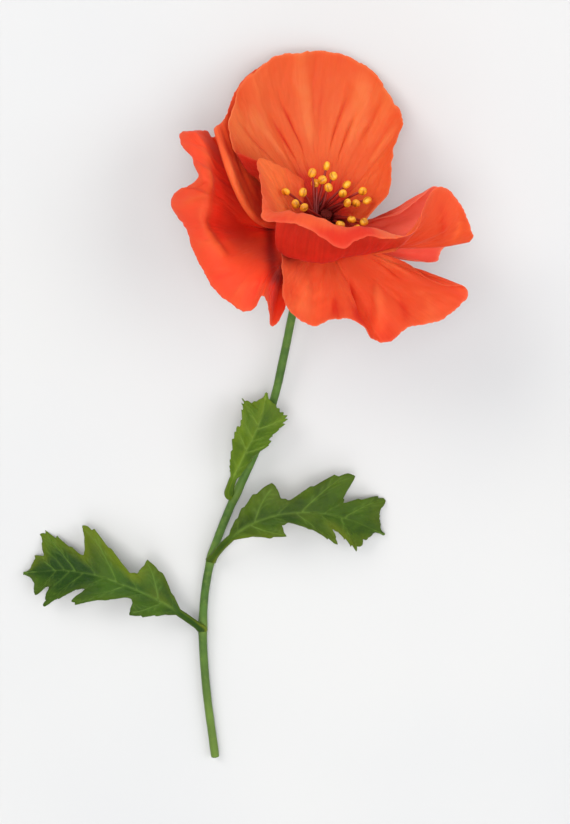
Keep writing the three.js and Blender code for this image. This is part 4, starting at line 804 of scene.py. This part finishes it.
def turned(name, profile, sides, mats, fn, node, floats=None, round_cuts=3):
    """profile (radius, height) from axis to axis about the bloom's axis, with its corners eased"""
    P = np.array(profile, float)
    # ease corners by corner cutting
    for _ in range(round_cuts):
        Q = [P[0]]
        for a, b in zip(P[:-1], P[1:]):
            Q += [0.78 * a + 0.22 * b, 0.22 * a + 0.78 * b]
        Q.append(P[-1]); P = np.array(Q)
    P = P[1:-1]
    P[0, 0] = max(P[0, 0], 0.05); P[-1, 0] = max(P[-1, 0], 0.05)
    vs, A, H = [], [], []
    for r, h in P:
        for j in range(sides):
            a = 2 * math.pi * j / sides
            rr, hh = fn(a, r, h)
            vs.append(rr * (math.cos(a) * SIDE_1 + math.sin(a) * SIDE_2) + hh * AXIS); A.append(a); H.append(h)
    n = len(P)
    F = [(i * sides + j, i * sides + (j + 1) % sides, (i + 1) * sides + (j + 1) % sides, (i + 1) * sides + j) for i in range(n - 1) for j in range(sides)]
    c0, c1 = len(vs), len(vs) + 1
    vs += [P[0, 1] * AXIS, P[-1, 1] * AXIS]; A += [0, 0]; H += [P[0, 1], P[-1, 1]]
    F3 = [(c0, (j + 1) % sides, j) for j in range(sides)] + [(c1, (n - 1) * sides + j, (n - 1) * sides + (j + 1) % sides) for j in range(sides)]
    o = new_object(name, to_row(np.array(vs)), F + F3, mats, floats={k: f(np.array(A), np.array(H)) for k, f in (floats or {}).items()})
    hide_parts(node)
    return o


turned("fine_receptacle", RECEPTACLE_PROFILE, 72, [RECEPT_MAT],
       lambda a, r, h: (r * (1 + 0.03 * math.cos(12 * a) * float(smooth(-7.0, -3.5, np.array(h)))), h), "receptacle",
       {"inside": lambda a, h: smooth(-2.2, -1.2, h)})
RAYS = 11


def ovary_shape(a, r, h):
    body = float(smooth(0.8, 1.4, np.array(h)) * (1 - smooth(2.7, 3.1, np.array(h))))
    cap = float(smooth(3.15, 3.45, np.array(h)))
    rr = r * (1 + 0.05 * body * math.cos(RAYS * a) + 0.09 * cap * math.cos(RAYS * a))
    return rr, h + cap * 0.18 * (0.5 + 0.5 * math.cos(RAYS * a)) * min(1, r / 1.2)


turned("fine_ovary", OVARY_PROFILE, 132, [OVARY_MAT], ovary_shape, "ovary",
       {"rib": lambda a, h: np.cos(RAYS * a), "cap": lambda a, h: smooth(3.1, 3.5, h) * (0.35 + 0.65 * (0.5 + 0.5 * np.cos(RAYS * a)))})


# ------------------------------------------------------------------ stamens
def make_stamen(i, foot, middle, tip):
    rnd = random.Random(100 + i)
    b, m, t = (np.array(p, float) for p in (foot, middle, tip))
    ns, sides = 26, 10
    q = np.linspace(0, 1, ns)[:, None]
    bow = np.array([rnd.uniform(-1, 1) for _ in range(3)]) * 0.45
    C = (1 - q) ** 2 * b + 2 * q * (1 - q) * m + q * q * t + bow * np.sin(math.pi * q) * np.sin(math.pi * q * 1.5)
    C[-1] = t
    path = C[:-1]
    vs, F, al, Cc, Tn, L = tube(path, lambda s: 0.56 - 0.16 * s + 0.06 * (1 - s) ** 6, sides, ns)
    vs, F, caps = capped(vs, F, sides, ns, Cc, (0.0, 0.05), Tn, (0.5,))
    up = np.concatenate([al, np.zeros((len(vs) - len(al)) // 2), np.ones(len(vs) - len(al) - (len(vs) - len(al)) // 2)])
    nf = len(F)
    # the anther: two sacs side by side, set a little across the filament
    d = t - m; d /= np.linalg.norm(d)
    k = np.array([rnd.uniform(-1, 1) for _ in range(3)]); k -= (k @ d) * d; k /= np.linalg.norm(k)
    lean = rnd.uniform(0.25, 0.95)
    ax = d * math.cos(lean) + k * math.sin(lean)
    e = np.cross(ax, k); e /= np.linalg.norm(e); f = np.cross(ax, e)
    nu, nv = 24, 20
    base = len(vs); A = []; seam = []
    ln, ra = rnd.uniform(1.52, 1.70), rnd.uniform(1.32, 1.44)
    centre = t + d * 0.05
    for x in range(1, nv):
        th = math.pi * x / nv
        for y in range(nu):
            a = 2 * math.pi * y / nu
            r = ra * math.sin(th) ** 0.85
            g = 0.5 + 0.5 * math.cos(2 * a)
            groove = max(0.0, 1 - abs(((a + math.pi / 2) % math.pi) - math.pi / 2) / 0.38)
            rr = r * (0.93 + 0.10 * math.sin(a) ** 2 - 0.17 * groove * groove)
            p = centre + ax * (-math.cos(th)) * ln + e * rr * math.cos(a) * 0.92 + f * rr * math.sin(a) * 1.05
            A.append(p); seam.append(groove * (math.sin(th)))
    A.append(centre - ax * ln); A.append(centre + ax * ln); seam += [0, 0]
    G = []
    for x in range(nv - 2):
        for y in range(nu):
            G.append((base + x * nu + y, base + x * nu + (y + 1) % nu, base + (x + 1) * nu + (y + 1) % nu, base + (x + 1) * nu + y))
    s0, s1 = base + (nv - 1) * nu, base + (nv - 1) * nu + 1
    G3 = [(s0, base + (y + 1) % nu, base + y) for y in range(nu)] + [(s1, base + (nv - 2) * nu + y, base + (nv - 2) * nu + (y + 1) % nu) for y in range(nu)]
    # wind the anther outwards
    pv = np.array(A)
    vol = sum(float((pv[g[0] - base] - centre) @ np.cross(pv[g[1] - base] - centre, pv[g[2] - base] - centre)) for g in G)
    if vol < 0: G = [g[::-1] for g in G]; G3 = [g[::-1] for g in G3]
    allv = np.concatenate([vs, pv])
    faces = F + G + G3
    fm = [0] * nf + [1] * (len(G) + len(G3))
    floats = {"up": np.concatenate([up, np.ones(len(pv))]), "seam": np.concatenate([np.zeros(len(vs)), seam])}
    name = "stamen_%02d" % (i + 1)
    o = new_object("fine_" + name, to_row(allv), faces, [FILAMENT_MAT, ANTHER_MAT], fm, floats=floats)
    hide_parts(name)
    return o


for i, (foot, middle, tip) in enumerate(STAMENS):
    make_stamen(i, foot, middle, tip)


# ------------------------------------------------------------------ leaves
def table(x, T):
    T = np.array(T, float)
    return np.interp(x, T[:, 0], T[:, 1])


def make_leaf(name, nu, nv):
    spec = LEAVES[name]
    rnd = random.Random(hash_of(name))
    spine = np.array(spec["spine"], float)
    # the stalk runs on to the stem's skin, which it clasps
    near = np.argmin(np.linalg.norm(STEM_FINE - spine[0], axis=1))
    home = STEM_FINE[near] + 0.22 * (spine[0] - STEM_FINE[near]) + STEM_RUN[near] * 1.8
    grown = np.linalg.norm(spine[0] - home)
    bare = spec["pet"] * shares(spine)[1]
    spine = np.concatenate([[home], spine])
    cum, length = shares(spine)
    foot = grown / length
    s = np.linspace(0, 1, nu)
    at = lambda x: crom(spine, np.interp(np.clip(x, 0, 1), cum, np.arange(len(spine))))
    M = at(s); Tn = at(s + 1e-3) - at(s - 1e-3); Tn /= np.linalg.norm(Tn, axis=1)[:, None]
    up = np.array([0, -ST, CT])
    L0 = np.cross(np.broadcast_to(up, Tn.shape), Tn); L0 /= np.linalg.norm(L0, axis=1)[:, None]
    N0 = np.cross(Tn, L0)
    c, sn = math.cos(spec["roll"] * DEG), math.sin(spec["roll"] * DEG)
    L = c * L0 + sn * N0; Nn = c * N0 - sn * L0
    v = np.linspace(-1, 1, nv)
    S, V = np.meshgrid(s, v, indexing="ij")
    a = np.abs(V)
    pet = (bare + grown) / length
    x = np.clip((s - pet) / (1 - pet), 0, 1)
    blade = smooth(0.0, 0.10, x)
    def half(tab, seed):
        w = spec["W"] * table(x, tab)
        # soften the corners of the outline, then add small teeth
        ker = np.exp(-0.5 * (np.arange(-6, 7) / 2.2) ** 2); ker /= ker.sum()
        w = np.convolve(np.pad(w, 6, mode="edge"), ker, mode="valid")
        saw = (x * 17 + noise2(x * 5, x * 0, seed)) % 1.0
        w = w * (1 + 0.13 * (np.minimum(saw / 0.7, (1 - saw) / 0.3) - 0.5) * blade * (1 - smooth(0.93, 1.0, x)))
        w = w * (1 - spec["point"][1] * smooth(spec["point"][0], 0.97, x))
        stalk = spec["wp"] * (1 - x) + 0.35 * x
        w = np.maximum(w, stalk)
        clasp = spec["wp"] * (1 + 0.65 * (1 - smooth(0.0, 2.2 * foot, s)))
        return np.where(s < pet, clasp, w)
    wl, wr = half(spec["left"], 3), half(spec["right"], 7)
    W = np.where(V > 0, wl[:, None], wr[:, None])
    be = spec["beta"] * DEG * np.clip((s - pet) * 5, 0, 1)[:, None]
    fwd = np.minimum(W * a * np.sin(be), (1 - S) * length * 0.85 * a)
    P = M[:, None] + L[:, None] * (V * W * np.cos(be))[..., None] + Tn[:, None] * fwd[..., None] + Nn[:, None] * (spec["cup"] * W * a ** 1.7)[..., None]
    # veins: one to each lobe tip, one between; they run along lines of equal s, and bend forward a little
    vein = np.zeros_like(S); main = np.exp(-0.5 * (V * W / (0.55 * (1.15 - 0.8 * S))) ** 2) * blade[:, None]
    relief = np.zeros_like(S)
    for side, tab in ((1, spec["left"]), (-1, spec["right"])):
        T = np.array(tab)
        tips = [T[k, 0] for k in range(1, len(T) - 1) if T[k, 1] >= T[k - 1, 1] and T[k, 1] >= T[k + 1, 1]]
        mids = [0.5 * (p + q) for p, q in zip(tips[:-1], tips[1:])]
        on = (V * side > 0)
        for k, (xc, wt, far) in enumerate([(p, 1.0, 0.96) for p in tips] + [(p, 0.5, 0.8) for p in mids] + [(tips[0] * 0.5, 0.5, 0.8)]):
            sc = pet + (xc - 0.045) * (1 - pet) + 0.045 * (1 - pet) * a ** 1.5 * 1.0
            g = np.exp(-0.5 * ((S - sc) * length / (0.42 - 0.2 * a)) ** 2) * (1 - smooth(far - 0.15, far, a)) * on
            vein = np.maximum(vein, wt * g)
            # finer forks from each side vein
            for q in range(3):
                a0 = 0.25 + 0.2 * q
                for sg in (1, -1):
                    sc2 = sc + sg * (a - a0) * 0.11 * (1 - pet)
                    g2 = np.exp(-0.5 * ((S - sc2) * length / 0.26) ** 2) * smooth(a0 - 0.01, a0 + 0.03, a) * (1 - smooth(a0 + 0.22, a0 + 0.34, a)) * on
                    vein = np.maximum(vein, 0.42 * wt * g2)
    vein = vein * blade[:, None]
    quilt = fbm(S * length / 3.2, V * W / 3.2, spec["seed"], 3)
    lobe_wave = noise2(S * length / 9.0, np.sign(V) * 3.0 + 0 * V, spec["seed"] + 3) * a ** 2
    relief = 0.42 * quilt * blade[:, None] * smooth(0.02, 0.2, a) - 0.22 * vein - 0.24 * main + 1.5 * lobe_wave * blade[:, None]
    NN = grid_normals(P)
    sign = 1.0 if (NN[nu // 2, nv // 2] @ up) > 0 else -1.0
    NN = NN * sign
    P = P + NN * relief[..., None]
    thick = (0.95 - 0.5 * smooth(0.0, 0.22, a)) * np.ones_like(S)
    thick = thick + 0.75 * np.exp(-0.5 * (V * W / 0.75) ** 2) * (1 - 0.75 * S)
    blend = smooth(pet - 0.02, pet + 0.07, S)
    thick = 1.35 * (1 - blend) + thick * blend
    N2 = grid_normals(P) * sign
    verts, F, src = shell_mesh(P, thick, N2)
    F = outward(verts, F)
    row = to_row(verts)
    row[:, 2] = np.where(row[:, 2] < 0.0001, 0.0001 + (row[:, 2] - 0.0001) * 0.04, row[:, 2])
    lit = spec["lit0"] + spec["lit1"] * smooth(0.3, 1.0, a) + 0.35 * noise2(S * length / 12.0, V * 1.3, spec["seed"] + 5)
    lit = np.clip(np.where(V * spec["litside"] > 0, lit, lit * 0.35), 0, 1)
    floats = {"vein": np.clip(vein + main, 0, 1).ravel()[src], "lit": lit.ravel()[src]}
    o = new_object("fine_" + name, row, F, [LEAF_MATS[name]], floats=floats)
    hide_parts(name)
    return o


def hash_of(name):
    return sum((i + 1) * ord(c) for i, c in enumerate(name))


LEAVES["leaf_left"].update(point=(0.84, 0.55), seed=41, lit0=0.10, lit1=0.55, litside=-1)
LEAVES["leaf_right"].update(point=(0.84, 0.55), seed=52, lit0=0.05, lit1=0.45, litside=-1)
LEAVES["leaf_upper"].update(point=(0.70, 0.72), seed=63, lit0=0.35, lit1=0.35, litside=1)
for name, (a, b) in {"leaf_left": (460, 81), "leaf_right": (420, 81), "leaf_upper": (300, 61)}.items():
    make_leaf(name, int(a * K), int(b * K) | 1)


# ------------------------------------------------------------------ stage
def floor():
    me = bpy.data.meshes.new("floor_sheet")
    n, size = 2, 9.0
    me.from_pydata([(-size, -size, -0.0001), (size, -size, -0.0001), (size, size, -0.0001), (-size, size, -0.0001)], [], [(0, 1, 2, 3)])
    m, nt, b = material("pale_paper"); N = Net(nt)
    f = N.noise(N.obj(6.0), 1.0, 2, 0.5)
    nt.links.new(N.mix(N.mapr(f, 0.3, 0.7), (0.628, 0.632, 0.637), (0.655, 0.655, 0.650)), b.inputs["Base Color"])
    b.inputs["Roughness"].default_value = 0.9
    b.inputs["Specular IOR Level"].default_value = 0.15
    me.materials.append(m)
    o = bpy.data.objects.new("floor_sheet", me); scene.collection.objects.link(o)
    return o


floor()


# ------------------------------------------------------------------ camera and light
FRAME_SPAN = 290.8          # mm covered by the frame's height at the bloom's base
AIM = np.array([-13.8, -67.5, 0.0])   # bloom-frame point under the middle of the frame
eye = to_row(np.array([0.0, 0.0, VIEW_DISTANCE]))
aim = to_row(AIM)
cam = bpy.data.cameras.new("camera")
cam_ob = bpy.data.objects.new("camera", cam); scene.collection.objects.link(cam_ob)
cam.sensor_width = 36.0
cam.sensor_fit = "AUTO"
back = Vector(eye - aim).normalized()
top = to_row(np.array([0.0, 1.0, 0.0])) - to_row(np.array([0.0, 0.0, 0.0]))
right = Vector(top).cross(back).normalized()
upv = back.cross(right)
cam_ob.matrix_world = Matrix(((right.x, upv.x, back.x, eye[0]), (right.y, upv.y, back.y, eye[1]), (right.z, upv.z, back.z, eye[2]), (0, 0, 0, 1)))
cam.lens = 36.0 * VIEW_DISTANCE / FRAME_SPAN
cam.clip_start, cam.clip_end = 0.01, 20
scene.camera = cam_ob


def area(name, loc, target, size, watts, colour, size_y=None):
    l = bpy.data.lights.new(name, "AREA"); l.energy = watts; l.color = colour; l.size = size
    if size_y: l.shape = "RECTANGLE"; l.size_y = size_y
    o = bpy.data.objects.new(name, l); scene.collection.objects.link(o)
    o.location = loc
    o.rotation_mode = "QUATERNION"
    o.rotation_quaternion = (Vector(target) - Vector(loc)).to_track_quat("-Z", "Y")
    return o


area("key", (-2.2, 2.5, 2.45), (0.0, 0.04, 0.03), 2.1, 68.0, (1.0, 0.985, 0.95))
area("fill", (2.7, 0.6, 2.4), (0.0, 0.02, 0.03), 2.4, 51.0, (0.97, 0.98, 1.0))
area("top", (-0.15, 0.25, 3.1), (0.0, 0.02, 0.03), 1.8, 45.0, (1.0, 0.99, 0.97))
area("front", (0.3, -2.2, 2.6), (0.0, 0.0, 0.02), 2.0, 14.0, (1.0, 0.98, 0.98))
world = bpy.data.worlds.new("studio"); scene.world = world; world.use_nodes = True
bg = world.node_tree.nodes["Background"]
bg.inputs[0].default_value = (0.95, 0.97, 1.0, 1); bg.inputs[1].default_value = 0.50
scene.view_settings.view_transform = "Standard"
scene.view_settings.look = "None"
scene.view_settings.exposure = 0.0
